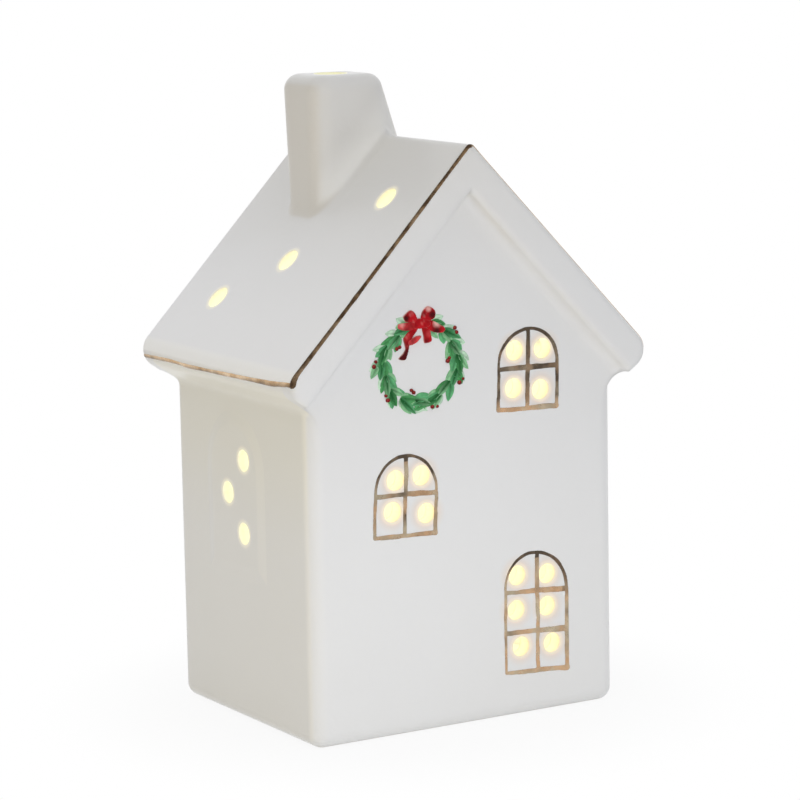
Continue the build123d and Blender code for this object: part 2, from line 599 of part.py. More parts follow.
def unit_shell():
    cup = cylinder_up(UNIT_BODY, FOOT_DEPTH, SHELL_TOP)
    cup = chamfer(cup.faces().sort_by(Axis.Z)[-1].edges(), UNIT_TOP_BEVEL)
    cup -= cylinder_up(UNIT_BODY - 2 * UNIT_WALL, FOOT_DEPTH, SHELL_CEILING)
    within = cylinder_up(UNIT_BODY - UNIT_WALL, 0, SHELL_TOP)
    for x, y in case_screw_spots():
        cup += cylinder_up(SCREW_BOSS, PLATE_TOP, SHELL_CEILING, x, y) & within
    for angle in POST_ANGLES:
        cup += cylinder_up(POST_DIAMETER, BOARD_TOP, SHELL_CEILING, *polar(POST_RADIUS, angle))
    cuts = []
    screw_room = SCREW_DIAMETER + 2 * SCREW_CLEARANCE
    screw_end = FLANGE_BOTTOM + SCREW_HEAD_HEIGHT + CASE_SCREW_LENGTH + SCREW_DIAMETER
    for x, y in case_screw_spots():
        cuts.append(cylinder_up(screw_room, FOOT_DEPTH, screw_end, x, y))
    for angle in LED_ANGLES:
        width = LED_DIAMETER + 2 * LED_CLEARANCE
        spot = polar(LED_RADIUS, angle)
        cuts.append(cylinder_up(width, SHELL_CEILING - OVERRUN, SHELL_TOP + OVERRUN, *spot))
    bottom = FOOT_DEPTH + RING_LIFT
    groove = Circle(UNIT_BODY / 2 + OVERRUN) - Circle(UNIT_BODY / 2 - RING_GROOVE)
    cuts.append(Pos(0, 0, bottom) * extrude(groove, RING_HEIGHT))
    return cup - cuts


def retaining_ring():
    """A soft ring with two bevelled lips that rub in the floor hole."""
    inner = UNIT_BODY / 2 - RING_GROOVE
    outer = UNIT_HOLE / 2 - RING_CLEARANCE
    bottom = FOOT_DEPTH + RING_LIFT
    step = RING_HEIGHT / 6
    waist = outer - RING_LIP
    points = [(inner, bottom), (waist, bottom)]
    for lip in (0, 3):
        points += [(outer, bottom + (lip + 1) * step), (outer, bottom + (lip + 2) * step)]
        points.append((waist, bottom + (lip + 3) * step))
    points.append((inner, bottom + RING_HEIGHT))
    return revolve(Plane.XZ * outline_face(points), Axis.Z)


def case_screws():
    seat = FLANGE_BOTTOM + SCREW_HEAD_HEIGHT
    return Part() + [Pos(x, y, seat) * screw(CASE_SCREW_LENGTH) for x, y in case_screw_spots()]


def battery_cell():
    """A button cell along X: a wide can with a narrower cap on its left."""
    radius = CELL_DIAMETER / 2
    can_start = CELL_STEP
    can = extrude(Plane.YZ.offset(can_start) * Circle(radius), CELL_THICKNESS - CELL_STEP)
    can = chamfer(can.edges(), CELL_STEP)
    cap = extrude(Plane.YZ * Circle(radius - CELL_RIM), CELL_STEP + CELL_RIM)
    return can + cap


def battery_cells():
    left = STACK_RIGHT - STACK_LENGTH
    places = [Pos(left + index * CELL_THICKNESS, BAY_OFFSET, CELL_AXIS) for index in range(CELL_COUNT)]
    return Compound([place * battery_cell().solid() for place in places])


def contact_plate(x):
    """An upright end plate with a narrow tab through the bay's ceiling and the board."""
    half = CONTACT_WIDTH / 2
    plate = box_up(CONTACT_THICKNESS, CONTACT_WIDTH, CELL_AXIS - half, BAY_CEILING, x, BAY_OFFSET)
    tab_top = BOARD_TOP + CONTACT_THICKNESS
    return plate + box_up(CONTACT_THICKNESS, CONTACT_TAB, CELL_AXIS, tab_top, x, BAY_OFFSET)


def positive_contact():
    plate = contact_plate(BAY_LENGTH / 2 - CONTACT_THICKNESS / 2)
    gap = CONTACT_CLEARANCE
    dimple = extrude(Plane.YZ.offset(STACK_RIGHT) * Circle(CONTACT_TAB / 2), gap + CONTACT_THICKNESS)
    return plate + Pos(0, BAY_OFFSET, CELL_AXIS) * dimple


def negative_contact():
    """An end plate with a bowed leaf that presses on the row of cells."""
    wall = -BAY_LENGTH / 2
    plate = contact_plate(wall + CONTACT_THICKNESS / 2)
    reach = STACK_RIGHT - STACK_LENGTH - wall - CONTACT_THICKNESS
    foot = (wall + CONTACT_THICKNESS / 2, CELL_AXIS - CONTACT_WIDTH / 2)
    head = (wall + CONTACT_THICKNESS / 2, CELL_AXIS + CONTACT_WIDTH / 2)
    crown = wall + CONTACT_THICKNESS + reach
    outer = ThreePointArc(foot, (crown, CELL_AXIS), head)
    inner = ThreePointArc(head, (crown - CONTACT_THICKNESS, CELL_AXIS), foot)
    leaf_face = make_face(outer + inner)
    return plate + extrude(Plane.XZ.offset(-BAY_OFFSET) * leaf_face, CONTACT_TAB / 2, both=True)


def circuit_board():
    board = cylinder_up(BOARD_DIAMETER, BAY_TOP, BOARD_TOP)
    width = CONTACT_TAB + 2 * CONTACT_CLEARANCE
    thickness = CONTACT_THICKNESS + 2 * CONTACT_CLEARANCE
    x = BAY_LENGTH / 2 - CONTACT_THICKNESS / 2
    slots = [box_up(thickness, width, 0, SHELL_TOP, side * x, BAY_OFFSET) for side in (-1, 1)]
    return board - slots


def lamp():
    """A round-topped lamp with a flat-bottomed rim, standing at the origin."""
    radius = LED_DIAMETER / 2
    rim = LED_RIM / 2
    shoulder = LED_HEIGHT - radius
    lower = Polyline((0, 0), (rim, 0), (rim, LED_RIM_HEIGHT), (radius, LED_RIM_HEIGHT), (radius, shoulder))
    dome = ThreePointArc((radius, shoulder), polar_point(radius, shoulder), (0, LED_HEIGHT))
    axis_line = Line((0, LED_HEIGHT), (0, 0))
    return revolve(Plane.XZ * make_face(lower + dome + axis_line), Axis.Z)


def polar_point(radius, height):
    """The middle of a quarter circle that ends on the axis."""
    across, up = polar(radius, 45)
    return across, height + up


def leds():
    places = [Pos(*polar(LED_RADIUS, angle), BOARD_TOP) for angle in LED_ANGLES]
    return Part() + [place * lamp() for place in places]


def resistor():
    top = BOARD_TOP + RESISTOR_HEIGHT
    body = box_up(RESISTOR_LENGTH, RESISTOR_WIDTH, BOARD_TOP, top, 0, RESISTOR_OFFSET)
    return chamfer(body.edges().filter_by(Axis.Y).group_by(Axis.Z)[-1], RESISTOR_HEIGHT / 4)


def switch_body():
    """A folded can, open below where the slider runs."""
    can = box_up(SWITCH_LENGTH, SWITCH_WIDTH, PLATE_TOP, SWITCH_TOP, 0, SWITCH_OFFSET)
    can = fillet(can.edges().filter_by(Axis.Z), SWITCH_WALL)
    length = SWITCH_LENGTH - 2 * SWITCH_WALL
    width = SWITCH_WIDTH - 2 * SWITCH_WALL
    room = PLATE_TOP + SLIDER_THICKNESS + 2 * SLIDE_CLEARANCE
    return can - box_up(length, width, PLATE_TOP, room, 0, SWITCH_OFFSET)


def switch_slider():
    bottom = PLATE_TOP + SLIDE_CLEARANCE
    width = SWITCH_WIDTH - 2 * SWITCH_WALL - 2 * SLIDE_CLEARANCE
    foot = box_up(SLIDER_LENGTH, width, bottom, bottom + SLIDER_THICKNESS, SLIDER_REST, SWITCH_OFFSET)
    knob_end = FLANGE_BOTTOM + KNOB_SHORT_OF_FACE
    knob = box_up(KNOB_LENGTH, KNOB_WIDTH, knob_end, bottom, SLIDER_REST, SWITCH_OFFSET)
    knob = chamfer(knob.faces().sort_by(Axis.Z)[0].edges(), KNOB_SHORT_OF_FACE / 2)
    return foot + knob


def switch_leads():
    """Two short leads that bow a little on their way from the switch up to the board."""
    rise = BAY_TOP - SWITCH_TOP
    leads = []
    for side in (-1, 1):
        x = side * LEAD_SPACING / 2
        bow = x + side * LEAD_BOW
        points = [(x, SWITCH_TOP), (x, SWITCH_TOP + rise / 5), (bow, SWITCH_TOP + rise / 2)]
        points += [(x, BAY_TOP - rise / 5), (x, BAY_TOP)]
        path = Plane.XZ.offset(-SWITCH_OFFSET) * Polyline(*points)
        section = Plane(path @ 0, z_dir=path % 0) * Circle(LEAD_DIAMETER / 2)
        leads.append(sweep(section, path, transition=Transition.RIGHT))
    return Part() + leads


def battery_door():
    door = Pos(0, BAY_OFFSET, FLANGE_BOTTOM) * extrude(door_outline(), DOOR_THICKNESS)
    return door - [screw_seat(PLATE_TOP, x, y) for x, y in door_screw_spots()]


def door_screws():
    seat = FLANGE_BOTTOM + SCREW_HEAD_HEIGHT
    return Part() + [Pos(x, y, seat) * screw(DOOR_SCREW_LENGTH) for x, y in door_screw_spots()]


def painted_front():
    """The pieces painted on the front wall, kept clear of the roof edge above them."""
    pieces = {
        "wreath_leaves": wreath_leaves(),
        "wreath_berries": wreath_berries(),
        "wreath_bow": wreath_bow(),
    }
    for name, window in window_table().items():
        pieces["gold_window_" + name] = gold_window(*window)
    roof_edge = roof_block() - gable_recess()
    return {name: piece - roof_edge for name, piece in pieces.items()}


def build():
    nodes = {
        "ceramic_house": ceramic_house(),
        "gold_roof_edging": gold_roof_edging(),
        "unit_base_plate": unit_base_plate(),
        "unit_shell": unit_shell(),
        "retaining_ring": retaining_ring(),
        "case_screws": case_screws(),
        "battery_cells": battery_cells(),
        "positive_contact": positive_contact(),
        "negative_contact": negative_contact(),
        "circuit_board": circuit_board(),
        "leds": leds(),
        "resistor": resistor(),
        "switch_body": switch_body(),
        "switch_slider": switch_slider(),
        "switch_leads": switch_leads(),
        "battery_door": battery_door(),
        "door_screws": door_screws(),
    }
    nodes.update(painted_front())
    return nodes


os.makedirs("parts", exist_ok=True)
for node, shape in build().items():
    export_step(shape, "parts/" + node + ".step")
    print(node, round(shape.volume, 1))
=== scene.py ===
import math
import bpy
import numpy as np
from mathutils import Matrix, Vector


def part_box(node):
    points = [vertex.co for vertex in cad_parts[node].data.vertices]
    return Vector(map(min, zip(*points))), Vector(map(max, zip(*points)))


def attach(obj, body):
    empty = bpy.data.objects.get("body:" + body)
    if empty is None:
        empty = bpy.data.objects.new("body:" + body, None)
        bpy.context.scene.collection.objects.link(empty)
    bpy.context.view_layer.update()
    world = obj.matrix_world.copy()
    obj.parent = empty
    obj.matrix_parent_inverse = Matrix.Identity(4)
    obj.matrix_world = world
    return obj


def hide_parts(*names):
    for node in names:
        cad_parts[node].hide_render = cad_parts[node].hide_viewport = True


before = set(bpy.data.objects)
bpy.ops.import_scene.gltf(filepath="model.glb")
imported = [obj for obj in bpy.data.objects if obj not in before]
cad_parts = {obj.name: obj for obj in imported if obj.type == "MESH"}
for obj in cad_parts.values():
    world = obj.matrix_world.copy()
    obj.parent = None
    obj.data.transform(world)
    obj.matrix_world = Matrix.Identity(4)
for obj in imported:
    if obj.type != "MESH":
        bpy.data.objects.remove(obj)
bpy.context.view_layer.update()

scene = bpy.context.scene
scene.view_settings.view_transform = "Standard"
mm = 0.001
white, dark = (1, 1, 1, 1), (0, 0, 0, 1)
print("frame loaded:", len(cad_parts), "nodes")


# camera at the photo's viewing angle
viewPoint = {
    "place": (-0.33205, -0.55560, 0.16718),
    "right": (0.85541, -0.51762, -0.01851),
    "up": (0.09857, 0.12759, 0.98692),
    "lens": 144.571,
    "sensor": 36.0,
}


def addCamera(setting):
    lens = bpy.data.cameras.new("camera")
    lens.lens = setting["lens"]
    lens.sensor_width = setting["sensor"]
    lens.clip_start = 0.02
    lens.clip_end = 60
    camera = bpy.data.objects.new("camera", lens)
    scene.collection.objects.link(camera)
    right, up = Vector(setting["right"]), Vector(setting["up"])
    turn = Matrix((right, up, right.cross(up))).transposed()
    camera.matrix_world = Matrix.Translation(setting["place"]) @ turn.to_4x4()
    scene.camera = camera


addCamera(viewPoint)


# small helpers for shader trees
def wire(value, socket):
    # an output is linked, a constant is set
    if isinstance(value, bpy.types.NodeSocket):
        socket.id_data.links.new(value, socket)
    else:
        socket.default_value = value


def setSockets(made, values):
    for label, value in values.items():
        wire(value, made.inputs[label])


def addNode(tree, kind, values=None, **settings):
    made = tree.nodes.new("ShaderNode" + kind)
    for name, value in settings.items():
        setattr(made, name, value)
    setSockets(made, values or {})
    return made


def treeOf(*values):
    return next(value.id_data for value in values if isinstance(value, bpy.types.NodeSocket))


def linear(red, green, blue):
    shares = [v / 255 for v in (red, green, blue)]
    return tuple(v / 12.92 if v <= 0.04045 else ((v + 0.055) / 1.055) ** 2.4 for v in shares) + (1.0,)


def newGroup(name, outputs, **inputs):
    group = bpy.data.node_groups.new(name, "ShaderNodeTree")
    for label, value in inputs.items():
        kind = "Float" if isinstance(value, float) else {3: "Vector", 4: "Color"}[len(value)]
        socket = group.interface.new_socket(name=label, in_out="INPUT", socket_type="NodeSocket" + kind)
        socket.default_value = value
    for label in outputs:
        kind = "Color" if label == "Color" else "Float"
        group.interface.new_socket(name=label, in_out="OUTPUT", socket_type="NodeSocket" + kind)
    return group, group.nodes.new("NodeGroupInput").outputs, group.nodes.new("NodeGroupOutput").inputs


def useGroup(tree, group, **values):
    made = tree.nodes.new("ShaderNodeGroup")
    made.node_tree = group
    setSockets(made, values)
    return made.outputs


def mathNode(operation, *values, clamp=False):
    sockets = dict(enumerate(values))
    return addNode(treeOf(*values), "Math", sockets, operation=operation, use_clamp=clamp).outputs[0]


def times(*factors):
    total = factors[0]
    for factor in factors[1:]:
        total = mathNode("MULTIPLY", total, factor)
    return total


def mixColour(factor, first, second, blend="MIX"):
    sockets = {0: factor, 6: first, 7: second}
    tree = treeOf(factor, first, second)
    return addNode(tree, "Mix", sockets, data_type="RGBA", blend_type=blend).outputs[2]


def mixShaders(factor, first, second):
    return addNode(factor.id_data, "MixShader", {0: factor, 1: first, 2: second}).outputs[0]


def softStep(value, low, high, start=0.0, end=1.0):
    sockets = {"Value": value, "From Min": low, "From Max": high, "To Min": start, "To Max": end}
    return addNode(value.id_data, "MapRange", sockets, interpolation_type="SMOOTHSTEP").outputs[0]


def axes(vector):
    return addNode(vector.id_data, "SeparateXYZ", {0: vector}).outputs


def objectSpot(tree):
    return addNode(tree, "TexCoord").outputs["Object"]


def noise(spot, scale, detail, roughness):
    sockets = {"Vector": spot, "Scale": scale, "Detail": detail, "Roughness": roughness}
    return addNode(spot.id_data, "TexNoise", sockets).outputs["Fac"]


def seenDirectly(tree):
    # by the camera, in a mirror or through glass
    path = addNode(tree, "LightPath").outputs
    seen = mathNode("MAXIMUM", path["Is Camera Ray"], path["Is Glossy Ray"])
    return mathNode("MAXIMUM", seen, path["Is Transmission Ray"])


def newFinish(name):
    finish = bpy.data.materials.new(name)
    finish.use_nodes = True
    tree = finish.node_tree
    return finish, tree, tree.nodes["Principled BSDF"]


# effects that several finishes share
def makeToneDrift():
    group, enter, leave = newGroup("toneDrift", ("Color", "Mask"), Base=white, Drift=white,
                                   Scale=40.0, Amount=1.0)
    cloud = noise(objectSpot(group), enter["Scale"], 3.0, 0.55)
    mask = mathNode("MULTIPLY", softStep(cloud, 0.32, 0.68), enter["Amount"], clamp=True)
    wire(mixColour(mask, enter["Base"], enter["Drift"]), leave["Color"])
    wire(mask, leave["Mask"])
    return group


def makeFineGrain():
    group, enter, leave = newGroup("fineGrain", ("Height", "Roughness"), Coarse=80.0, Fine=900.0, Share=0.3,
                                   Roughness=0.4, Spread=0.1)
    spot = objectSpot(group)
    coarse, fine = (noise(spot, enter[label], 2.0, 0.5) for label in ("Coarse", "Fine"))
    height = addNode(group, "Mix", {0: enter["Share"], 2: coarse, 3: fine}, data_type="FLOAT")
    wire(height.outputs[0], leave["Height"])
    centred = mathNode("SUBTRACT", coarse, 0.5)
    wire(mathNode("MULTIPLY_ADD", centred, enter["Spread"], enter["Roughness"]), leave["Roughness"])
    return group


def makeBrushed():
    group, enter, leave = newGroup("brushedMetal", ("Color", "Roughness", "Height"), Base=white,
                                   Streak=(0.6, 0.6, 0.6, 1), Stretch=(1, 1, 1), Scale=900.0, Roughness=0.3)
    spot = objectSpot(group)
    stretched = addNode(group, "VectorMath", {0: spot, 1: enter["Stretch"]}, operation="MULTIPLY")
    lines = noise(stretched.outputs[0], enter["Scale"], 4.0, 0.6)
    wire(mixColour(softStep(lines, 0.35, 0.7), enter["Base"], enter["Streak"]), leave["Color"])
    smudge = noise(spot, 180.0, 2.0, 0.5)
    rough = mathNode("MULTIPLY_ADD", smudge, 0.2, enter["Roughness"])
    wire(mathNode("SUBTRACT", rough, 0.1), leave["Roughness"])
    wire(lines, leave["Height"])
    return group


def makeEdgeThin():
    # how sharply the surface turns, from a rounded normal
    group, enter, leave = newGroup("edgeThin", ("Mask",), Radius=0.0006, Gain=3.0)
    rounded = addNode(group, "Bevel", {"Radius": enter["Radius"]}, samples=4).outputs[0]
    flat = addNode(group, "NewGeometry").outputs["Normal"]
    turn = addNode(group, "VectorMath", {0: rounded, 1: flat}, operation="DOT_PRODUCT")
    bend = mathNode("SUBTRACT", 1.0, turn.outputs["Value"])
    wire(mathNode("MULTIPLY", bend, enter["Gain"], clamp=True), leave["Mask"])
    return group


toneDrift = makeToneDrift()
fineGrain = makeFineGrain()
brushedMetal = makeBrushed()
edgeThin = makeEdgeThin()
print("shared effects made")


def addBump(tree, skin, height, strength, depth):
    bump = addNode(tree, "Bump", {"Strength": strength, "Distance": depth, "Height": height})
    wire(bump.outputs[0], skin.inputs["Normal"])
    return bump


def addGrain(tree, skin, bump=None, **grain):
    made = useGroup(tree, fineGrain, **grain)
    wire(made["Roughness"], skin.inputs["Roughness"])
    if bump:
        addBump(tree, skin, made["Height"], *bump)


def wornEdges(colour, worn, **edge):
    # paler where the edges are rubbed
    if not worn:
        return colour
    return mixColour(useGroup(colour.id_data, edgeThin, **edge)["Mask"], colour, worn)


# white glazed porcelain, lit from the chamber through its holes by a painted glow, with painted light and shade
# on its outer skin
glaze = {
    # high is painted shade: a darker, creamier tone towards the top
    "base": (0.846, 0.845, 0.832, 1), "high": (0.832, 0.820, 0.785, 1), "topShadeReach": (0.082, 0.122),
    "driftTint": (0.965, 0.96, 0.95, 1), "bare": (0.70, 0.665, 0.60, 1),
    "roughness": 0.30, "coat": 0.15, "edgeReach": (0.0006, 0.0025), "edgeRadius": (0.0003, 0.0018),
    "fixed": {"Emission Strength": 1.0, "Coat Roughness": 0.10, "IOR": 1.5, "Specular IOR Level": 0.35},
    "waves": 38.0, "peel": 520.0, "waveHeight": 0.0014, "footRim": (0.00025, 0.0005),
    "halfWidth": 35.4, "halfDepth": 27.95, "ridge": 116.8, "slope": math.radians(46.18),
    "shell": 3.5, "floorTop": 6.0, "cornerRadius": 3.0, "wallReach": (0.25, 1.45), "innerReach": (3.2, 3.45),
    "roofTurn": (0.3, 0.6), "sideTurn": (0.3, 0.75), "sideReach": (0.0346, 0.0353),
    "endReach": (0.02715, 0.02775), "stackTurn": (0.5, 0.9), "stackFoot": (0.094, 0.098),
    "holeGlow": (0.48, 0.46, 0.20, 1), "chamberGlow": (0.34, 0.308, 0.190, 1),
    "flue": (-0.00765, 0.009), "flueRim": (0.1245, 0.1275), "flueReach": (0.00325, 0.007),
    "flueBore": (0.0034, 0.00355), "flueGlow": (0.03, 0.028, 0.04, 1),
    "skinGlow": (0.074, 0.076, 0.074, 1), "skinGlowFall": (0.012, 0.100),
    "besideGlow": (0.108, 0.096, 0.064, 1), "besideLean": (-1.25, 0.5),
    # the chimney tint is painted shade on its sides
    "roofGlow": (0.090, 0.092, 0.104, 1), "roofGlowFall": (0.078, 0.116), "stackSideShade": (0.97, 0.945, 0.905, 1),
    "eaveGlow": (0.134, 0.133, 0.128, 1), "eaveReach": (0.0393, 0.0402), "eaveTurn": (-0.1, 0.1),
    "footGlow": (0.088, 0.088, 0.086, 1), "footReach": (-7.5, -1.5), "footEdge": (-0.8, -0.2),
    "footTurn": (-0.8, -0.45),
    # the under-eave tint is painted shade; the pane tint is a painted halo of light round the holes
    "eaveShade": (0.985, 0.97, 0.905, 1), "eaveShadeStart": (0.036, 0.060), "eaveShadeEnd": (0.0705, 0.0720),
    "holeHaloTint": (0.86, 0.755, 0.66, 1), "holeHaloReach": (0.0, 0.0026),
    "rimGlow": (0.26, 0.225, 0.12, 1), "rimReach": (0.0, 0.0013), "holeRadius": 2.0,
    "frontHoles": [
        (11.40, 67.03), (17.74, 66.23), (11.76, 74.56), (18.34, 74.40), (-17.07, 45.35),
        (-9.37, 44.27), (-16.27, 51.54), (-10.37, 51.90), (12.43, 14.36), (19.85, 14.16),
        (11.35, 22.00), (18.73, 21.88), (11.67, 29.04), (18.81, 28.56)],
    "sideHoles": [(36.15, -1.91, 53.79, 2.25), (36.15, 4.81, 46.47, 2.25), (36.15, -1.51, 38.94, 2.25),
                  (31.14, 15.79, 84.35, 2.5), (23.17, 0.60, 92.66, 2.5), (10.81, -17.25, 105.54, 2.5)],
}


def roofDepth(far, z, setting):
    # depth under the slopes, in millimetres
    slope = setting["slope"]
    rise = mathNode("MULTIPLY_ADD", z, math.cos(slope) / mm, times(far, math.sin(slope) / mm))
    return mathNode("SUBTRACT", setting["ridge"] * math.cos(slope), rise)


def chamberDepth(far, along, z, roof, setting):
    # depth under the outer faces of walls, roof and floor, in millimetres
    walls = [mathNode("MULTIPLY_ADD", value, -1 / mm, setting[label])
             for value, label in ((far, "halfWidth"), (along, "halfDepth"))]
    # the upright corners are rounded
    bend = setting["cornerRadius"]
    short = [mathNode("MAXIMUM", mathNode("SUBTRACT", bend, wall), 0.0) for wall in walls]
    corner = mathNode("SQRT", mathNode("ADD", *(times(v, v) for v in short)))
    deeper = mathNode("MAXIMUM", mathNode("SUBTRACT", mathNode("MINIMUM", *walls), bend), 0.0)
    lowest = mathNode("ADD", mathNode("SUBTRACT", bend, corner), deeper)
    floor = mathNode("MULTIPLY_ADD", z, 1 / mm, setting["shell"] - setting["floorTop"])
    return mathNode("MINIMUM", mathNode("MINIMUM", lowest, roof), floor)


def faceMasks(tree, far, along, z, roof, setting):
    # where painted light and shade go: slopes, side walls, the chimney's sides, eave edges, the foot of the
    # chimney's front, and how far a side face leans to the front
    facing = addNode(tree, "VectorTransform", {0: addNode(tree, "NewGeometry").outputs["Normal"]},
                     vector_type="NORMAL", convert_from="WORLD", convert_to="OBJECT")
    nx, ny, nz = axes(facing.outputs[0])
    slopes = softStep(nz, *setting["roofTurn"])
    wall = mathNode("SUBTRACT", 1.0, slopes)
    across = softStep(mathNode("ABSOLUTE", ny), *setting["sideTurn"], 1.0, 0.0)
    beside = times(softStep(far, *setting["sideReach"]), wall, across,
                   softStep(along, *setting["endReach"], 1.0, 0.0))
    stack = times(softStep(mathNode("ABSOLUTE", nx), *setting["stackTurn"]), wall,
                  softStep(z, *setting["stackFoot"]))
    eave = times(softStep(far, *setting["eaveReach"]), softStep(nz, *setting["eaveTurn"]), across)
    foot = times(softStep(roof, *setting["footReach"]), softStep(roof, *setting["footEdge"], 1.0, 0.0),
                 softStep(ny, *setting["footTurn"], 1.0, 0.0))
    # painted light: side faces that lean to the front get more of the painted glow, as if lit from the front
    lean = mathNode("MULTIPLY_ADD", ny, *setting["besideLean"], clamp=True)
    return {"roof": slopes, "beside": beside, "stack": stack, "eave": eave, "foot": foot, "lean": lean}


def nearestHole(source, spots):
    # distance from the rim of the nearest hole
    nearest = None
    for *centre, radius in spots:
        ends = {0: source, 1: [v * mm for v in centre]}
        away = addNode(source.id_data, "VectorMath", ends, operation="DISTANCE")
        value = mathNode("SUBTRACT", away.outputs["Value"], radius * mm)
        nearest = value if nearest is None else mathNode("MINIMUM", nearest, value)
    return nearest


def glazeColour(tree, z, faces, holeHalo, rim, setting):
    # painted shade: darker and creamier towards the top, under the eaves and on the chimney's sides; a painted
    # pinkish halo of light round the window holes; bare on the foot rim
    colour = mixColour(softStep(z, *setting["topShadeReach"]), setting["base"], setting["high"])
    drift = useGroup(tree, toneDrift, Base=white, Drift=setting["driftTint"], Scale=14.0, Amount=0.5)
    colour = mixColour(1.0, colour, drift["Color"], "MULTIPLY")
    # painted shade on the side walls under the eaves
    under = times(faces["beside"], softStep(z, *setting["eaveShadeStart"]),
                  softStep(z, *setting["eaveShadeEnd"], 1.0, 0.0))
    colour = mixColour(under, colour, setting["eaveShade"], "MULTIPLY")
    # painted shade: the chimney's sides are darkened
    colour = mixColour(faces["stack"], colour, setting["stackSideShade"], "MULTIPLY")
    # painted light: a warm pinkish halo round each window hole
    colour = mixColour(holeHalo, colour, setting["holeHaloTint"])
    return mixColour(rim, colour, setting["bare"])


def glazeGlow(x, y, z, faces, depth, hole, setting):
    # painted light: glow in the chamber, the holes and the flue, a glow on the outer skin as if shining through
    # it, brighter on side faces that lean to the front, and on the eave edges, the hole rims and the foot of
    # the chimney's front
    outer = mixColour(softStep(z, *setting["skinGlowFall"]), setting["skinGlow"], dark)
    outer = mixColour(faces["beside"], outer, mixColour(faces["lean"], dark, setting["besideGlow"]))
    roof = mixColour(softStep(z, *setting["roofGlowFall"]), setting["roofGlow"], dark)
    outer = mixColour(faces["roof"], outer, roof)
    # painted light on the eave edges and at the foot of the chimney's front
    for label in ("eave", "foot"):
        outer = mixColour(faces[label], outer, setting[label + "Glow"])
    ring = softStep(hole, *setting["rimReach"], 1.0, 0.0)
    outer = mixColour(times(ring, ring), outer, setting["rimGlow"])
    offsets = [mathNode("SUBTRACT", value, middle) for value, middle in zip((x, y), setting["flue"])]
    flue = mathNode("SQRT", mathNode("ADD", *(times(v, v) for v in offsets)))
    ring = times(softStep(flue, *setting["flueReach"], 1.0, 0.0), softStep(z, *setting["flueRim"]))
    outer = mixColour(ring, outer, setting["flueGlow"])
    bore = softStep(flue, *setting["flueBore"], 1.0, 0.0)
    inside = mathNode("MAXIMUM", softStep(depth, *setting["wallReach"]), bore)
    inner = softStep(depth, *setting["innerReach"])
    return mixColour(inside, outer, mixColour(inner, setting["holeGlow"], setting["chamberGlow"]))


def porcelainFinish(setting):
    finish, tree, skin = newFinish("porcelain")
    finish.cycles.emission_sampling = "NONE"
    spot = objectSpot(tree)
    x, y, z = axes(spot)
    far, along = mathNode("ABSOLUTE", x), mathNode("ABSOLUTE", y)
    roof = roofDepth(far, z, setting)
    depth = chamberDepth(far, along, z, roof, setting)
    faces = faceMasks(tree, far, along, z, roof, setting)
    mirrored = addNode(tree, "CombineXYZ", {0: far, 1: y, 2: z})
    window = nearestHole(spot, [(across, -setting["halfDepth"], rise, setting["holeRadius"])
                                for across, rise in setting["frontHoles"]])
    hole = mathNode("MINIMUM", window, nearestHole(mirrored.outputs[0], setting["sideHoles"]))
    # painted halo of light round the window holes
    holeHalo = softStep(window, *setting["holeHaloReach"], 1.0, 0.0)
    rim = softStep(z, *setting["footRim"], 1.0, 0.0)
    grain = useGroup(tree, fineGrain, Coarse=setting["waves"], Fine=setting["peel"], Share=0.12,
                     Roughness=setting["roughness"], Spread=0.08)
    bump = addBump(tree, skin, grain["Height"], 0.35, setting["waveHeight"])
    edge = softStep(hole, *setting["edgeReach"], *setting["edgeRadius"])
    wire(addNode(tree, "Bevel", {"Radius": edge}, samples=6).outputs[0], bump.inputs["Normal"])
    setSockets(skin, {
        "Base Color": glazeColour(tree, z, faces, holeHalo, rim, setting),
        "Emission Color": glazeGlow(x, y, z, faces, depth, hole, setting),
        "Roughness": mathNode("MULTIPLY_ADD", rim, 0.5, grain["Roughness"]),
        "Coat Weight": mathNode("MULTIPLY_ADD", rim, -setting["coat"], setting["coat"]),
        **setting["fixed"]})
    return finish


# gold lustre with painted reflections: dark brown where the mark stands for a dark reflection, copper and a
# pale glint where it stands for a bright one
lustres = {
    # the three colours are painted reflection: dark, bright copper and a pale glint
    "edgeGold": {"dark": linear(70, 53, 36), "copper": linear(204, 166, 120), "glint": linear(240, 220, 192),
                 "roughness": 0.26, "metallic": 0.85, "drift": 0.55},
    "windowGold": {"dark": linear(84, 72, 60), "copper": linear(206, 166, 128), "glint": linear(194, 180, 154),
                   "roughness": 0.3, "metallic": 0.8, "drift": 0.95},
}


def lustreFinish(name, setting):
    finish, tree, skin = newFinish(name)
    mark = addNode(tree, "Attribute", attribute_name="paintedReflection")
    # random patches of painted glint over the copper
    drift = useGroup(tree, toneDrift, Base=setting["copper"], Drift=setting["glint"], Scale=260.0,
                     Amount=setting["drift"])
    patch = useGroup(tree, toneDrift, Scale=420.0, Amount=1.0)
    speckle = mathNode("MULTIPLY_ADD", patch["Mask"], 0.3, -0.15)
    # the painted reflection mark, with random speckle
    reflectionShare = mathNode("ADD", mark.outputs["Fac"], speckle, clamp=True)
    colour = mixColour(reflectionShare, setting["dark"], drift["Color"])
    addGrain(tree, skin, (0.3, 0.00008), Coarse=700.0, Fine=3000.0, Share=0.4,
             Roughness=setting["roughness"], Spread=0.3)
    setSockets(skin, {"Base Color": colour, "Metallic": setting["metallic"]})
    return finish


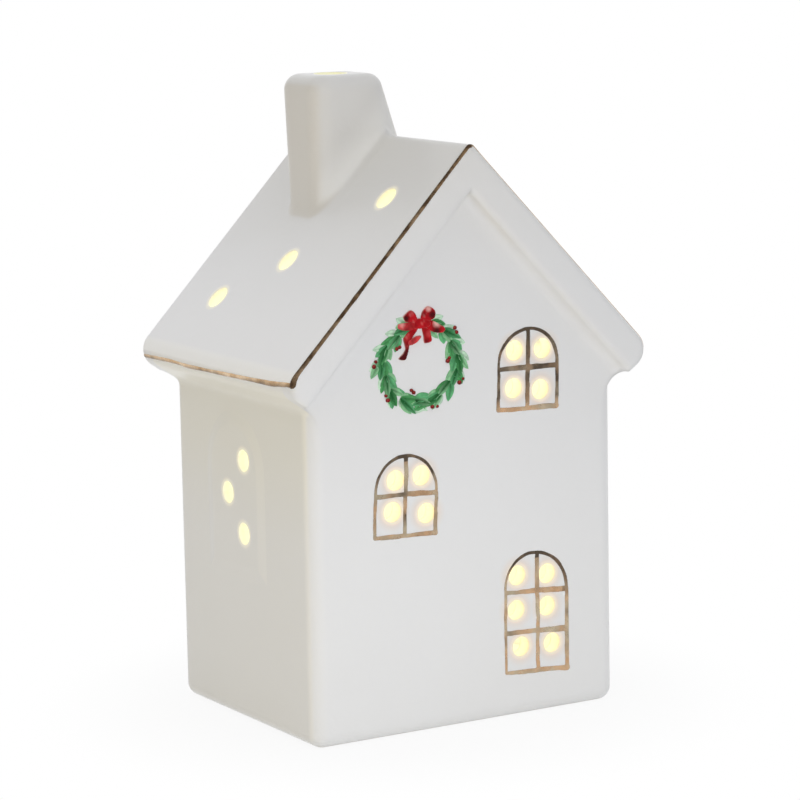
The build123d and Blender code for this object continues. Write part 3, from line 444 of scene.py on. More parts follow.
def enamelFinish(name, roughness):
    # onglaze colour: the piece carries its own tints
    finish, tree, skin = newFinish(name)
    mark = addNode(tree, "Attribute", attribute_name="tint")
    wash = useGroup(tree, toneDrift, Base=(0.82, 0.82, 0.82, 1), Drift=(1.16, 1.16, 1.16, 1),
                    Scale=900.0, Amount=1.0)
    colour = mixColour(1.0, mark.outputs["Color"], wash["Color"], "MULTIPLY")
    addGrain(tree, skin, (0.25, 0.00006), Coarse=600.0, Fine=2600.0, Share=0.5, Roughness=roughness, Spread=0.2)
    setSockets(skin, {"Base Color": colour, "Specular IOR Level": 0.12})
    return finish


porcelain = porcelainFinish(glaze)
edgeGold, windowGold = (lustreFinish(name, setting) for name, setting in lustres.items())
wreathGreen = enamelFinish("wreathGreen", 0.38)
wreathRed = enamelFinish("wreathRed", 0.34)


# the works under the floor
def mouldedFinish(name, base, drift, roughness, worn=None):
    finish, tree, skin = newFinish(name)
    tone = useGroup(tree, toneDrift, Base=base, Drift=drift, Scale=120.0, Amount=0.9)
    wire(wornEdges(tone["Color"], worn, Radius=0.0004, Gain=2.2), skin.inputs["Base Color"])
    addGrain(tree, skin, (0.4, 0.00005), Coarse=320.0, Fine=2400.0, Share=0.65, Roughness=roughness, Spread=0.2)
    return finish


def metalFinish(name, base, streak, roughness, stretch, scale, worn=None):
    finish, tree, skin = newFinish(name)
    brushed = useGroup(tree, brushedMetal, Base=base, Streak=streak, Stretch=stretch, Scale=scale,
                       Roughness=roughness)
    colour = wornEdges(brushed["Color"], worn, Radius=0.0003, Gain=2.0)
    setSockets(skin, {"Base Color": colour, "Roughness": brushed["Roughness"], "Metallic": 1.0})
    addBump(tree, skin, brushed["Height"], 0.25, 0.00003)
    return finish


def siliconeFinish():
    finish, tree, skin = newFinish("clearSilicone")
    tone = useGroup(tree, toneDrift, Base=(0.80, 0.80, 0.76, 1), Drift=(0.68, 0.69, 0.66, 1), Scale=160.0)
    addGrain(tree, skin, (0.3, 0.00005), Coarse=300.0, Fine=1800.0, Share=0.5, Roughness=0.34, Spread=0.2)
    setSockets(skin, {"Base Color": tone["Color"], "Transmission Weight": 0.45, "IOR": 1.41})
    return finish


def boardFinish():
    # green mask with paler tracks under it
    finish, tree, skin = newFinish("boardGreen")
    tracks = addNode(tree, "TexBrick", {"Scale": 260.0, "Mortar Size": 0.09, "Mortar Smooth": 0.2,
                                        "Brick Width": 1.1, "Row Height": 0.42,
                                        "Vector": objectSpot(tree)}).outputs["Fac"]
    tone = useGroup(tree, toneDrift, Base=linear(22, 92, 52), Drift=linear(14, 72, 42), Scale=140.0, Amount=1.0)
    colour = mixColour(tracks, tone["Color"], linear(58, 138, 78))
    addGrain(tree, skin, Coarse=400.0, Fine=2200.0, Share=0.5, Roughness=0.34, Spread=0.15)
    addBump(tree, skin, tracks, 0.35, 0.00004)
    setSockets(skin, {"Base Color": colour, "Coat Weight": 0.3})
    return finish


def lampFinish(low, high):
    # warm lamp: brightest round the chip, paler towards the dome
    finish, tree, skin = newFinish("lampEpoxy")
    rise = axes(objectSpot(tree))["Z"]
    tone = useGroup(tree, toneDrift, Base=(0.95, 0.88, 0.66, 1), Drift=(0.92, 0.82, 0.55, 1), Scale=400.0)
    light = mixColour(softStep(rise, low, high), (1.0, 0.72, 0.32, 1), (1.0, 0.9, 0.62, 1))
    addGrain(tree, skin, Coarse=500.0, Fine=2000.0, Share=0.4, Roughness=0.14, Spread=0.1)
    setSockets(skin, {"Base Color": tone["Color"], "Emission Color": light, "Emission Strength": 2.0})
    return finish


lampLow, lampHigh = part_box("leds")
ivory = mouldedFinish("ivoryPlastic", (0.80, 0.775, 0.70, 1), (0.77, 0.74, 0.66, 1), 0.42,
                      worn=(0.87, 0.85, 0.79, 1))
steel = metalFinish("screwSteel", (0.56, 0.55, 0.53, 1), (0.40, 0.39, 0.38, 1), 0.30, (9, 1, 1), 500.0,
                    worn=(0.74, 0.73, 0.71, 1))
cellSteel = metalFinish("cellSteel", (0.66, 0.66, 0.65, 1), (0.55, 0.55, 0.54, 1), 0.24, (1, 14, 1), 380.0)
canSteel = metalFinish("switchCan", (0.60, 0.61, 0.62, 1), (0.48, 0.49, 0.50, 1), 0.28, (12, 1, 1), 420.0)
nickel = metalFinish("contactNickel", (0.70, 0.66, 0.58, 1), (0.58, 0.54, 0.47, 1), 0.26, (1, 10, 1), 420.0)
finishes = {
    "ceramic_house": porcelain, "unit_base_plate": ivory, "unit_shell": ivory, "battery_door": ivory,
    "retaining_ring": siliconeFinish(), "case_screws": steel, "door_screws": steel,
    "battery_cells": cellSteel, "switch_body": canSteel,
    "positive_contact": nickel, "negative_contact": nickel, "circuit_board": boardFinish(),
    "leds": lampFinish(lampLow.z, lampHigh.z),
    "resistor": mouldedFinish("resistorBlack", (0.035, 0.034, 0.033, 1), (0.055, 0.053, 0.05, 1), 0.45),
    "switch_leads": mouldedFinish("leadRed", (0.50, 0.035, 0.03, 1), (0.42, 0.028, 0.025, 1), 0.36),
    "switch_slider": mouldedFinish("switchBlack", (0.028, 0.028, 0.03, 1), (0.04, 0.04, 0.042, 1), 0.38,
                                   worn=(0.075, 0.075, 0.078, 1)),
}
for nodeName, finish in finishes.items():
    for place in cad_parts[nodeName].material_slots:
        place.material = finish
print("finishes made:", len(bpy.data.materials))


# painted pieces are closed relief meshes, worked out in millimetres
def addPiece(name, points, faces, node, finish, reflectionMarks=None, tints=None):
    mesh = bpy.data.meshes.new(name)
    mesh.from_pydata([(x * mm, y * mm, z * mm) for x, y, z in points], [], faces)
    mesh.polygons.foreach_set("use_smooth", [True] * len(mesh.polygons))
    if reflectionMarks is not None:
        mesh.attributes.new("paintedReflection", "FLOAT", "POINT").data.foreach_set("value", reflectionMarks)
    if tints is not None:
        layer = mesh.attributes.new("tint", "FLOAT_COLOR", "POINT")
        layer.data.foreach_set("color", [v for tint in tints for v in (*tint[:3], 1.0)])
    mesh.materials.append(finish)
    piece = bpy.data.objects.new(name, mesh)
    scene.collection.objects.link(piece)
    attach(piece, "house")
    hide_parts(node)


def unit(value):
    return min(max(value, 0), 1)


def wobble(u, v, seed):
    return (np.sin(0.83 * u + 0.41 * v + 1.7 * seed) + 0.6 * np.sin(1.9 * v - 1.3 * u + 2.9 * seed)
            + 0.4 * np.sin(3.7 * u + 2.6 * v + 4.1 * seed)) / 2.0


def dome(depth, reach):
    full = np.clip(depth / reach, 0, 1)
    return np.sqrt(1 - (1 - full) ** 2)


def reliefPatch(xs, zs, depth, height, wallY, sink):
    # marching squares over a depth map: domed paint that meets the wall at its outline
    points, faces, picked = [], [], {}
    inside = depth > 0

    def corner(i, k):
        if (i, k) not in picked:
            picked[i, k] = len(points)
            points.append((xs[i], wallY - height[i, k], zs[k]))
            points.append((xs[i], wallY + sink, zs[k]))
        return picked[i, k], picked[i, k] + 1

    def crossing(a, b):
        key = (min(a, b), max(a, b))
        if key not in picked:
            share = depth[a] / (depth[a] - depth[b])
            share = min(max(share, 0.02), 0.98)
            picked[key] = len(points)
            points.append((xs[a[0]] + share * (xs[b[0]] - xs[a[0]]), wallY + sink * 0.5,
                           zs[a[1]] + share * (zs[b[1]] - zs[a[1]])))
        return picked[key], picked[key]

    for i in range(len(xs) - 1):
        for k in range(len(zs) - 1):
            ring = [(i, k), (i + 1, k), (i + 1, k + 1), (i, k + 1)]
            if not any(inside[c] for c in ring):
                continue
            loop = []
            for a, b in zip(ring, ring[1:] + ring[:1]):
                if inside[a]:
                    loop.append(corner(*a))
                if inside[a] != inside[b]:
                    loop.append(crossing(a, b) if inside[a] else crossing(b, a))
            faces.append([pair[0] for pair in loop])
            faces.append([pair[1] for pair in reversed(loop)])
    return points, faces


# window frames, painted by hand in gold
windows = {
    "line": 0.75, "height": 0.13, "step": 0.16, "sink": 0.05, "wallY": -27.95, "margin": 2.0, "waver": 0.10,
    "uneven": 0.16, "uprightSwell": 0.14, "sillSwell": 0.28, "mullionSwell": 1.34, "barSwell": 1.46,
    # dark, copperSill and turn set the painted reflection in the gold: dark brown over the arch, copper towards
    # the sill
    "spots": {
        "upper": {"x": 14.91, "sill": 62.37, "tall": 16.65, "width": 14.65, "bars": (0.514,), "mullion": -0.1,
                  "tilt": -0.028, "lean": 0.033, "seed": 1.0, "dark": 0.76, "copperSill": 1.0,
                  "turn": 0.0, "stroke": 1.0, "skew": 0.09},
        "middle": {"x": -13.98, "sill": 39.97, "tall": 16.57, "width": 14.65, "bars": (0.515,), "mullion": -0.1,
                   "tilt": -0.039, "lean": 0.036, "seed": 2.3, "dark": 0.31, "copperSill": 0.6,
                   "turn": 0.0, "stroke": 0.91, "skew": 0.06},
        "lower": {"x": 16.17, "sill": 8.56, "tall": 25.04, "width": 15.45, "bars": (0.341, 0.67),
                  "mullion": 0.3, "tilt": -0.056, "lean": 0.0, "seed": 3.9, "dark": 0.12, "copperSill": 0.7,
                  "turn": 0.5, "stroke": 0.97, "skew": 0.17},
    },
}


def windowFrame(label, spot, setting):
    half, seed, middle = setting["line"] / 2, spot["seed"], spot["x"]
    radius = spot["width"] / 2 - half
    base, top = spot["sill"] + half, spot["sill"] + spot["tall"] - half
    spring = top - radius
    side, margin, waver = radius + setting["margin"], setting["margin"], setting["waver"]
    xs = np.arange(middle - side, middle + side, setting["step"])
    zs = np.arange(base - margin, top + margin, setting["step"])
    gx, gz = np.meshgrid(xs, zs, indexing="ij")
    u = gx - middle - spot["lean"] * (gz - (base + top) / 2) + waver * wobble(0.5 * gz, 0.2 * gx, seed)
    w = gz - spot["tilt"] * (gx - middle) + waver * wobble(0.5 * gx, 0.2 * gz, seed + 5)
    uneven = setting["uneven"] * wobble(0.7 * gx, 0.7 * gz, seed + 9)
    swell = half * (spot["stroke"] + spot["skew"] * u / radius + uneven)
    sides, below = np.abs(u) - radius, base - w
    boxed = np.where((sides > 0) & (below > 0), np.hypot(sides, below), np.maximum(sides, below))
    arched = np.hypot(u, np.maximum(w - spring, 0)) - radius
    shape = np.where(w > spring, arched, boxed)
    upright, sill = np.clip((spring + 1 - w) / 3, 0, 1), np.clip(base + 1 - w, 0, 1)
    depth = swell * (1 + setting["uprightSwell"] * upright + setting["sillSwell"] * sill) - np.abs(shape)
    mullion = np.abs(u - spot["mullion"] + 0.06 * np.sin(0.4 * gz + seed))
    bars = [np.abs(w - spot["sill"] - share * spot["tall"]) for share in spot["bars"]]
    strokes = [setting["mullionSwell"] * swell - mullion] + [setting["barSwell"] * swell - bar for bar in bars]
    for stroke in strokes:
        # the strokes end at the frame and run into each other
        stroke = np.minimum(stroke, half * 0.6 - shape)
        blend = np.clip(0.5 + (depth - stroke) / 0.4, 0, 1)
        depth = blend * depth + (1 - blend) * stroke + 0.1 * blend * (1 - blend)
    height = setting["height"] * dome(depth, half)
    points, faces = reliefPatch(xs, zs, depth, height, setting["wallY"], setting["sink"])
    # painted reflection: the arch and upper parts dark brown, copper lower down, with random dark patches
    marks = []
    for x, y, z in points:
        rise = (z - spot["sill"]) / spot["tall"]
        onRim = abs(math.hypot(x - middle, max(z - spring, 0)) - radius) < 1.1
        arch = unit((z - spring + 1.0) / 5.0 + spot["turn"] * (x - middle) / radius) if onRim else 0
        patch = wobble(0.55 * x, 0.62 * z, seed + 3)
        dark = max(spot["dark"], 0.95 * arch) + 0.55 * max(patch - 0.25, 0)
        dark *= 1 - 0.8 * spot["copperSill"] * unit((0.17 - rise) / 0.12)
        marks.append(min(max(1 - dark, 0.02), 1))
    addPiece("windowFrame_" + label, points, faces, "gold_window_" + label, windowGold, marks)


for label, spot in windows["spots"].items():
    windowFrame(label, spot, windows)
print("window frames painted")


# gold line round the front edge of the roof and along both eaves
edging = {
    "slope": math.radians(46.18), "ridgeCentre": 115.07, "ridgeRadius": 1.2, "tipCentre": (36.89, 72.73),
    "tipRadius": 3.9, "tipStart": math.radians(184), "endY": 31.65, "endRadius": 0.9, "line": 0.8,
    "dripX": -26.8, "height": 0.13, "sink": 0.06, "across": 9, "step": 0.7, "frontSlant": 0.22,
    "eaveSlant": 0.42, "frontSwell": 0.12, "eaveSwell": 0.15, "eaveGap": 0.7,
}


def roofProfile(setting):
    # outline of the roof end from the left eave over the ridge to the right one: point, normal
    def arc(x, z, radius, first, last, count):
        outs = [Vector((math.cos(angle), 0, math.sin(angle))) for angle in np.linspace(first, last, count)]
        return [(Vector((x, 0, z)) + radius * out, out) for out in outs]

    upright, (tipX, tipZ) = math.pi / 2, setting["tipCentre"]
    square = upright + setting["slope"]
    eave = arc(-tipX, tipZ, setting["tipRadius"], setting["tipStart"], square, 11)
    ridge = arc(0, setting["ridgeCentre"], setting["ridgeRadius"], square, upright, 7)
    start, end = eave[-1][0], ridge[0][0]
    count = int((end - start).length / setting["step"])
    left = eave + [(start.lerp(end, i / count), eave[-1][1]) for i in range(1, count)] + ridge
    return left + [(Vector((-p.x, 0, p.z)), Vector((-n.x, 0, n.z))) for p, n in reversed(left[:-1])]


def bandMesh(stations, setting, points, faces, marks):
    # each station: function from an offset across to (point, normal), half width, painted reflection mark and
    # its slant
    count, sink = setting["across"], setting["sink"]
    shares = [2 * index / (count - 1) - 1 for index in range(count)]
    rings = []
    for place, half, mark, slant in stations:
        spots = [place(share * half) for share in shares]
        start = len(points)
        for share, (point, normal) in zip(shares, spots):
            rise = setting["height"] * math.sqrt(1 - share * share) - (sink if abs(share) == 1 else 0)
            points.append(tuple(point + normal * rise))
            # the slant makes one edge of the band lighter, a painted highlight
            marks.append(unit(mark + slant * share))
        for point, normal in spots[1:-1]:
            points.append(tuple(point - normal * sink))
            marks.append(unit(mark))
        ring = list(range(start, len(points)))
        rings.append(ring[:count] + ring[:count - 1:-1])
    for first, second in zip(rings, rings[1:]):
        faces += zip(first, first[1:] + first[:1], second[1:] + second[:1], second)
    faces += [tuple(reversed(rings[0])), tuple(rings[-1])]


def onFrontEdge(row, turn, setting):
    base, out = row
    radius, ahead = setting["endRadius"], Vector((0, -1, 0))
    centre = base - out * radius + Vector((0, radius - setting["endY"], 0))

    def place(offset):
        # past the rounding the line lies flat on the roof or on its end
        angle = turn + offset / radius
        bent = min(max(angle, 0), math.pi / 2)
        normal = out * math.cos(bent) + ahead * math.sin(bent)
        flat = out * -max(angle - bent, 0) + ahead * min(angle - bent, 0)
        return centre + (normal + flat) * radius, normal
    return place


def onEave(side, y, turn, setting):
    tipX, tipZ = setting["tipCentre"]

    def place(offset):
        angle = turn + offset / setting["tipRadius"]
        normal = Vector((side * math.cos(angle), 0, math.sin(angle)))
        return Vector((side * tipX, y, tipZ)) + normal * setting["tipRadius"], normal
    return place


def bell(value, width):
    return math.exp(-(value / width) ** 2)


def frontStations(rows, setting):
    # painted dark, as a dark reflection, and full from the left eave to the ridge, with a blob at its foot,
    # then thin and painted pale, as a bright reflection
    stations = []
    last = len(rows) - 1
    for index, row in enumerate(rows):
        s = index / last
        swell = 1 + setting["frontSwell"] * wobble(40 * s, 3 * s, 2.0)
        apex = bell(s - 0.5, 0.012)
        if s < 0.5:
            drip = bell(row[0].x - setting["dripX"], 0.6)
            foot, heel = unit((0.11 - s) / 0.08), bell(s, 0.03)
            wide = 1.06 * swell + 0.25 * drip + 0.3 * apex + 0.45 * foot + 0.8 * heel
            end = min(0.12 + index / 3, 1)
            mark = (0.02 + 0.12 * max(wobble(26 * s, 0, 4.0), 0)) * min(index / 8, 1)
            turn = math.radians(48 + 6 * math.sin(9 * s)) * (0.65 + 0.35 * min(index / 7, 1))
        else:
            past = min((s - 0.5) / 0.05, 1)
            wide = 0.8 * swell + 0.5 * apex
            end = min(0.12 + (last - index) / 4, 1)
            mark = 0.15 + 0.5 * past
            turn = math.radians(45 - 45 * past)
        wide *= setting["line"] / 2 * math.sqrt(1 - (1 - end) ** 2)
        stations.append((onFrontEdge(row, turn, setting), wide, mark, setting["frontSlant"] if s > 0.04 else 0))
    return stations


def eaveStations(side, setting):
    # painted copper, as a bright reflection, with one edge paler, and sagging a little behind the front edge
    stations = []
    radius, endY, gap = setting["endRadius"], setting["endY"], setting["eaveGap"] * (1 + side)
    length = 2 * endY - radius
    count = int(length / setting["step"])
    for index in range(count + 1):
        s = index / count
        y = radius - endY + gap + s * (length - radius - gap)
        swell = 1 + setting["eaveSwell"] * wobble(30 * s, 2 * s, 3.0 + side)
        heel = bell(s, 0.025) if side < 0 else 0
        wide = (1.2 + 0.3 * bell(s, 0.25) - 0.12 * s) * swell - 0.2 * heel
        mark = 0.66 + 0.22 * wobble(18 * s, 4 * s, 6.0 + side) - 0.35 * heel
        sag = unit((s - 0.02) / 0.1) * unit((0.8 - s) / 0.12)
        place = onEave(side, y, math.radians(4 - 22 * s - 6 * sag), setting)
        stations.append((place, setting["line"] / 2 * wide, mark, setting["eaveSlant"]))
    return stations


def paintEdging(setting):
    points, faces, marks = [], [], []
    bands = [frontStations(roofProfile(setting), setting), eaveStations(-1, setting),
             eaveStations(1, setting)[::-1]]
    for stations in bands:
        bandMesh(stations, setting, points, faces, marks)
    addPiece("roofEdging", points, faces, "gold_roof_edging", edgeGold, marks)


paintEdging(edging)
print("roof edging painted")


# wreath: leaves in small sprays round a ring, a bow at the top and berries between
wreath = {
    "x": -10.15, "z": 74.1, "radius": 8.5, "squeeze": 0.89, "wallY": -27.95, "sprays": 16,
    "leafLength": 4.05, "leafWidth": 1.74, "lift": 0.05, "dome": 0.16, "sink": 0.05,
    "greens": [linear(20, 86, 38), linear(86, 162, 98), linear(146, 204, 152), linear(204, 236, 206),
               linear(104, 182, 124)],
    "berry": linear(112, 20, 20), "berryShine": linear(200, 84, 76),
    "berryRadius": 0.40, "berryHeight": 0.5, "berries": 16,
    "leans": [(-0.66, 0.86), (0.62, 0.82), (-0.34, 1.0), (0.30, 0.96), (-0.03, 1.1)],
    "deeps": [-0.12, -0.12, 0.02, 0.02, 0.42],
    "reds": [linear(74, 1, 6), linear(184, 14, 26), linear(212, 70, 72), linear(250, 190, 180)],
}


def blendTint(first, second, share):
    share = unit(share)
    return tuple(a + (b - a) * share for a, b in zip(first[:3], second[:3]))


def onWreath(angle, reach, setting):
    return (setting["x"] + reach * math.cos(angle),
            setting["z"] + setting["squeeze"] * reach * math.sin(angle))


def leafMesh(root, heading, length, width, lift, tone, deep, seed, setting, points, faces, tints):
    long, wide = 10, 5
    ahead, left = (Vector((math.cos(turn), math.sin(turn))) for turn in (heading, heading + math.pi / 2))
    curl = 0.35 * math.sin(seed * 2.3)
    greens = setting["greens"]
    first, second = greens[0], greens[1 + tone % (len(greens) - 1)]
    top, bottom = {}, {}
    for i in range(long + 1):
        s, tip = i / long, i in (0, long)
        reach = 0 if tip else width / 2 * math.sin(math.pi * s ** 0.8) ** 0.75
        bend = curl * s * (1 - s) * 2
        for j in range(wide):
            if tip and j:
                top[i, j] = bottom[i, j] = top[i, 0]
                continue
            v, rib = 2 * j / (wide - 1) - 1, j == wide // 2
            x, z = Vector(root) + ahead * (s * length) + left * (v * reach + bend)
            high = lift
            if not tip and abs(v) < 1:
                arch = (1 - abs(v) ** 2.2) * math.sin(math.pi * s) ** 0.6
                high += setting["dome"] * (0.35 if rib else 1.0) * arch
            shade = 0.17 + 0.85 * s ** 0.8 + (0.2 if v > 0 else 0) + 0.25 * abs(v) - (0.25 if rib else 0) - deep
            top[i, j] = bottom[i, j] = len(points)
            points.append((x, setting["wallY"] - high, z))
            tints.append(blendTint(first, second, shade))
            if not tip:
                bottom[i, j] = len(points)
                points.append((x, setting["wallY"] + setting["sink"], z))
                tints.append(blendTint(first, second, shade))
    end = wide - 1
    for i in range(long):
        quads = [[bottom[i, 0], bottom[i + 1, 0], top[i + 1, 0], top[i, 0]],
                 [top[i, end], top[i + 1, end], bottom[i + 1, end], bottom[i, end]]]
        for j in range(end):
            quads.append([top[i, j], top[i + 1, j], top[i + 1, j + 1], top[i, j + 1]])
            quads.append([bottom[i, j + 1], bottom[i + 1, j + 1], bottom[i + 1, j], bottom[i, j]])
        for quad in quads:
            clean = [corner for k, corner in enumerate(quad) if corner != quad[k - 1]]
            if len(clean) > 2:
                faces.append(tuple(clean))


def paintLeaves(setting):
    # sprays run down both sides from the bow and meet at the bottom
    points, faces, tints = [], [], []
    last = setting["sprays"] // 2 - 1
    for spray in range(setting["sprays"]):
        side = 1 if spray % 2 else -1
        angle = math.pi / 2 - side * math.radians(13 + 156 * (spray // 2) / last)
        root = onWreath(angle, setting["radius"] + 0.35 * math.sin(2.1 * spray + 0.6), setting)
        flow = angle - side * math.pi / 2
        for leaf, (lean, share) in enumerate(setting["leans"]):
            seed = spray * 5 + leaf
            heading = flow + lean + 0.18 * math.sin(3.7 * seed)
            length = setting["leafLength"] * share * (1 + 0.12 * math.sin(5.3 * seed + 1))
            width = setting["leafWidth"] * (1 + 0.14 * math.sin(2.9 * seed + 2))
            lift = setting["lift"] + 0.03 * leaf + 0.012 * (spray % 3)
            tone = (2, 1, 2, 3)[seed % 4] if leaf < 2 else (0, 3, 1)[seed % 3]
            leafMesh(root, heading, length, width, lift, tone, setting["deeps"][leaf], seed, setting,
                     points, faces, tints)
    addPiece("wreathLeaves", points, faces, "wreath_leaves", wreathGreen, tints=tints)


def outlineDepth(gx, gz, outline):
    # signed distance into a closed outline
    inside = np.zeros(gx.shape, bool)
    near = np.full(gx.shape, 1e9)
    for (ax, az), (bx, bz) in zip(outline, outline[1:] + outline[:1]):
        ex, ez = bx - ax, bz - az
        share = np.clip(((gx - ax) * ex + (gz - az) * ez) / (ex * ex + ez * ez), 0, 1)
        near = np.minimum(near, np.hypot(gx - ax - share * ex, gz - az - share * ez))
        inside ^= ((az > gz) != (bz > gz)) & (gx < ax + (gz - az) * ex / (ez or 1e-9))
    return np.where(inside, near, -near)


def smoothLoop(corners, steps=5):
    # closed spline through the corners
    loop = []
    count = len(corners)
    for index in range(count):
        p0, p1, p2, p3 = (Vector(corners[(index + k - 1) % count]) for k in range(4))
        for step in range(steps):
            t = step / steps
            point = 0.5 * (2 * p1 + (p2 - p0) * t + (2 * p0 - 5 * p1 + 4 * p2 - p3) * t * t
                           + (3 * p1 - p0 - 3 * p2 + p3) * t ** 3)
            loop.append((point.x, point.y))
    return loop


# ribbon parts: corners from the knot in millimetres, lift, red at the end, and touches of shade and shine as
# (x, z, reach, red, strength)
ribbons = {
    "tailLeft": {"corners": [(-0.4, -0.3), (-2.4, -1.3), (-3.2, -2.3), (-3.0, -3.3), (-2.9, -4.2), (-3.5, -5.0),
                             (-4.2, -5.6), (-3.9, -5.9), (-2.9, -6.0), (-2.4, -5.1), (-2.1, -4.0), (-1.9, -3.2),
                             (-1.4, -2.3), (-0.4, -1.1)], "lift": 0.14, "end": 0,
                 "touches": [(-2.8, -5.0, 1.6, 0, 0.8), (-2.6, -2.2, 0.9, 2, 0.4)]},
    "tailCurl": {"corners": [(-2.4, -2.8), (-1.5, -2.4), (-0.6, -2.1), (0.3, -2.1), (0.1, -2.6), (-0.6, -3.2),
                             (-1.7, -3.6), (-2.3, -3.4)], "lift": 0.24, "end": 2,
                 "touches": [(-0.2, -2.4, 1.0, 2, 0.8)]},
    "tailRight": {"corners": [(0.6, -0.6), (2.0, -1.1), (2.3, -2.2), (2.4, -3.2), (1.6, -3.5), (0.9, -3.4),
                              (0.8, -2.4), (0.6, -1.4)], "lift": 0.16, "end": 1,
                  "touches": [(1.7, -1.9, 0.9, 2, 0.8), (1.3, -3.2, 0.8, 0, 0.5)]},
    "sideRight": {"corners": [(0.6, 0.3), (2.4, 0.4), (3.8, -0.3), (4.9, -1.0), (5.1, -1.6), (4.4, -2.0),
                              (2.9, -1.8), (1.7, -1.2), (0.5, -0.7)], "lift": 0.18, "end": 1,
                  "touches": [(3.4, -0.2, 1.2, 3, 0.9), (3.3, -1.6, 1.1, 0, 1.0)]},
    "sideLeft": {"corners": [(-0.5, 0.3), (-1.9, 0.4), (-3.2, 0.4), (-4.2, 0.2), (-4.3, -0.5), (-3.5, -0.9),
                             (-2.2, -1.1), (-0.5, -0.8)], "lift": 0.18, "end": 2,
                 "touches": [(-3.5, 0.2, 0.9, 3, 0.5), (-2.6, -0.9, 0.7, 0, 0.5)]},
    "loopLeft": {"corners": [(-0.3, 0.5), (-0.9, 1.9), (-1.7, 2.4), (-2.5, 2.0), (-3.2, 1.3), (-2.8, 0.5),
                             (-1.9, 0.3), (-0.6, -0.1)], "lift": 0.24, "end": 1,
                 "touches": [(-2.7, 1.1, 0.9, 0, 1.0), (-1.6, 1.9, 0.8, 2, 0.9)]},
    "loopRight": {"corners": [(0.3, 0.5), (0.5, 1.7), (1.1, 2.5), (1.8, 2.8), (2.7, 2.4), (3.2, 1.7),
                              (3.0, 0.7), (2.0, 0.3), (0.6, -0.1)], "lift": 0.24, "end": 1,
                  "touches": [(2.5, 1.3, 1.1, 0, 1.0), (1.7, 2.4, 0.8, 3, 0.9), (0.8, 1.5, 0.7, 0, 0.6)]},
    "knot": {"corners": [(-1.2, 0.1), (-0.5, 0.8), (0.8, 0.8), (2.0, 0.3), (2.0, -0.6), (0.9, -0.9),
                         (-0.3, -0.9), (-1.2, -0.7)], "lift": 0.34, "end": 1, "touches": []},
}
bow = {"x": -10.3, "z": 81.9, "scale": 1.15, "step": 0.14, "dome": 0.22, "edge": 0.7, "rim": 0.55}


def paintBow(setting, paints):
    points, faces, tints = [], [], []
    reds = paints["reds"]
    midX, midZ, scale = setting["x"], setting["z"], setting["scale"]
    for index, part in enumerate(ribbons.values()):
        loop = smoothLoop([(midX + scale * x, midZ + scale * z) for x, z in part["corners"]])
        xs, zs = (np.arange(min(line) - 0.3, max(line) + 0.45, setting["step"]) for line in zip(*loop))
        depth = outlineDepth(*np.meshgrid(xs, zs, indexing="ij"), loop)
        height = part["lift"] + setting["dome"] * dome(depth, setting["edge"])
        made, madeFaces = reliefPatch(xs, zs, depth, height, paints["wallY"], paints["sink"])
        faces += [[v + len(points) for v in face] for face in madeFaces]
        points += made
        reach = max(math.hypot(x - midX, z - midZ) for x, z in loop)
        for x, y, z in made:
            far = math.hypot(x - midX, z - midZ) / reach
            fold = wobble(1.9 * x, 1.6 * z, 1.0 + index)
            tint = blendTint(reds[1], reds[part["end"]], 1.3 * far - 0.25)
            tint = blendTint(tint, reds[0], 0.4 * max(-fold, 0))
            for dx, dz, extent, red, strength in part["touches"]:
                off = math.hypot(x - midX - scale * dx, z - midZ - scale * dz)
                tint = blendTint(tint, reds[red], strength * min(1.5 * (1 - off / extent), 1))
            tint = blendTint(tint, reds[3], 0.3 * max(fold - 0.45, 0))
            high = (paints["wallY"] - y - part["lift"]) / setting["dome"]
            tints.append(blendTint(tint, reds[3], setting["rim"] * unit(1.6 * far - 0.5) * (1 - high / 0.6)))
    addPiece("wreathBow", points, faces, "wreath_bow", wreathRed, tints=tints)


def paintBerries(setting):
    points, faces, tints = [], [], []
    rings, around, wall = 4, 12, setting["wallY"]
    for berry in range(setting["berries"]):
        pair, second = divmod(berry, 2)
        angle = math.radians(140 + 258 * pair / (setting["berries"] / 2 - 1))
        angle += 0.09 * math.sin(4.1 * pair) + 0.10 * second
        cx, cz = onWreath(angle, setting["radius"] + (1.75 if pair % 3 else -2.3) + 0.35 * second, setting)
        radius = setting["berryRadius"] * (1 + 0.18 * math.sin(2.7 * berry))
        start = len(points)
        for ring in range(rings):
            rise = ring / rings * math.pi / 2
            y = wall - 0.2 - 0.3 * math.sin(rise) if ring else wall + setting["sink"]
            for step in range(around):
                turn = 2 * math.pi * step / around
                reach = radius * math.cos(rise)
                points.append((cx + reach * math.cos(turn), y, cz + reach * math.sin(turn)))
                light = max(math.cos(turn - 2.2), 0) * math.sin(2 * rise)
                tints.append(blendTint(setting["berry"], setting["berryShine"], 0.6 * light))
        points.append((cx, wall - setting["berryHeight"], cz))
        tints.append(blendTint(setting["berry"], setting["berryShine"], 0.15))
        for step in range(around):
            a, b = start + step, start + (step + 1) % around
            for up in range(0, around * (rings - 1), around):
                faces.append((a + up, b + up, b + up + around, a + up + around))
            faces.append((a + around * (rings - 1), b + around * (rings - 1), start + rings * around))
        faces.append(tuple(start + step for step in reversed(range(around))))
    addPiece("wreathBerries", points, faces, "wreath_berries", wreathRed, tints=tints)


paintLeaves(wreath)
paintBow(bow, wreath)
paintBerries(wreath)
print("wreath painted")


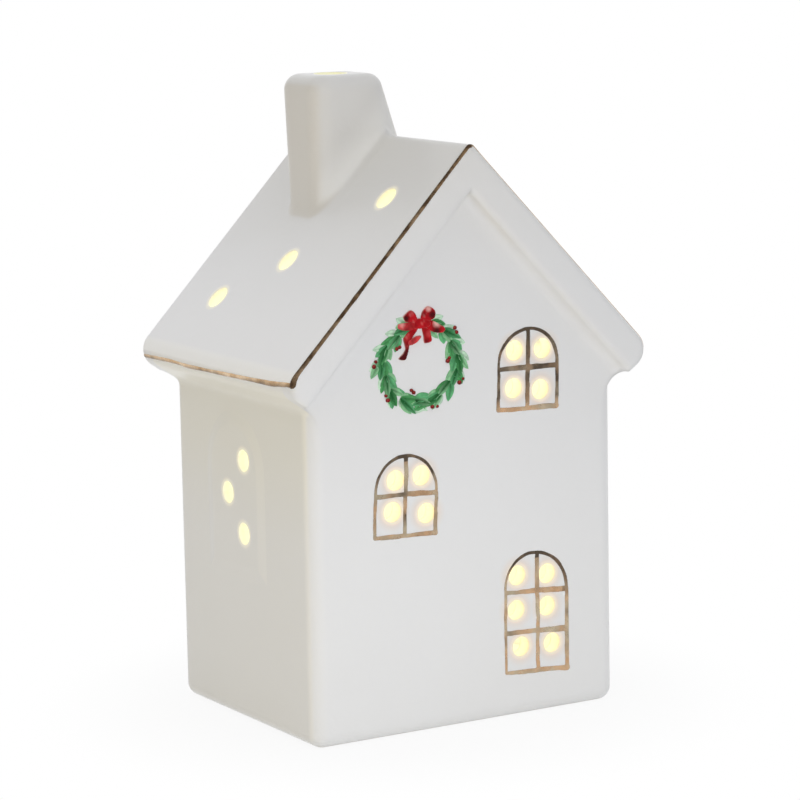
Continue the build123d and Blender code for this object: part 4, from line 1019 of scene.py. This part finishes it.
# plain pale floor, white surroundings and soft studio light
studio = {
    "floorSize": 12.0, "floorColour": (0.86, 0.86, 0.86, 1), "shadowShare": 0.10, "shadowReach": (0.035, 0.08),
    "horizon": dark, "zenith": (0.92, 0.93, 0.962, 1), "rise": (0.0, 0.9),
    "lamps": {
        "frontGlow": {"place": (-0.055, -0.24, 0.016), "aim": (0, 0, 0.016), "size": 0.12, "power": 0.175,
                      "colour": (1.0, 1.0, 1.04)},
        "sideGlow": {"place": (-0.29, -0.09, 0.06), "aim": (0, 0, 0.05), "size": 0.14, "power": 0.056,
                     "colour": (1.0, 0.72, 0.12)},
    },
}


def addFloor(setting):
    half = setting["floorSize"] / 2
    mesh = bpy.data.meshes.new("floor")
    corners = [(-half, -half, 0), (half, -half, 0), (half, half, 0), (-half, half, 0)]
    mesh.from_pydata(corners, [], [(0, 1, 2, 3)])
    floor = bpy.data.objects.new("floor", mesh)
    scene.collection.objects.link(floor)
    finish, tree, skin = newFinish("floorPaper")
    setSockets(skin, {"Base Color": setting["floorColour"], "Roughness": 0.9, "Specular IOR Level": 0.0})
    away = addNode(tree, "VectorMath", {0: objectSpot(tree)}, operation="LENGTH")
    plain = softStep(away.outputs["Value"], *setting["shadowReach"], 1 - setting["shadowShare"], 1.0)
    lift = addNode(tree, "Emission", {"Color": white, "Strength": 1.0})
    paper = mixShaders(times(seenDirectly(tree), plain), skin.outputs[0], lift.outputs[0])
    # clear from below, so that the foot can be seen
    under = addNode(tree, "NewGeometry").outputs["Backfacing"]
    paper = mixShaders(under, paper, addNode(tree, "BsdfTransparent").outputs[0])
    wire(paper, tree.nodes["Material Output"].inputs["Surface"])
    mesh.materials.append(finish)


def addWorld(setting):
    world = bpy.data.worlds.new("surroundings")
    world.use_nodes = True
    tree = world.node_tree
    dim = tree.nodes["Background"]
    height = axes(addNode(tree, "TexCoord").outputs["Generated"])["Z"]
    colour = mixColour(softStep(height, *setting["rise"]), setting["horizon"], setting["zenith"])
    setSockets(dim, {"Color": colour, "Strength": 1.0})
    plain = addNode(tree, "Background", {"Color": white, "Strength": 1.0})
    sky = mixShaders(seenDirectly(tree), dim.outputs[0], plain.outputs[0])
    wire(sky, tree.nodes["World Output"].inputs["Surface"])
    scene.world = world


def addLamp(label, setting):
    lamp = bpy.data.lights.new(label, "AREA")
    lamp.shape = "DISK"
    lamp.size = setting["size"]
    lamp.energy = setting["power"]
    lamp.color = setting["colour"]
    shown = bpy.data.objects.new(label, lamp)
    scene.collection.objects.link(shown)
    shown.visible_camera = shown.visible_glossy = False
    shown.location = setting["place"]
    ahead = Vector(setting["aim"]) - Vector(setting["place"])
    shown.rotation_euler = ahead.to_track_quat("-Z", "Y").to_euler()


addFloor(studio)
addWorld(studio)
for label, lampSetting in studio["lamps"].items():
    addLamp(label, lampSetting)
print("stage lit")
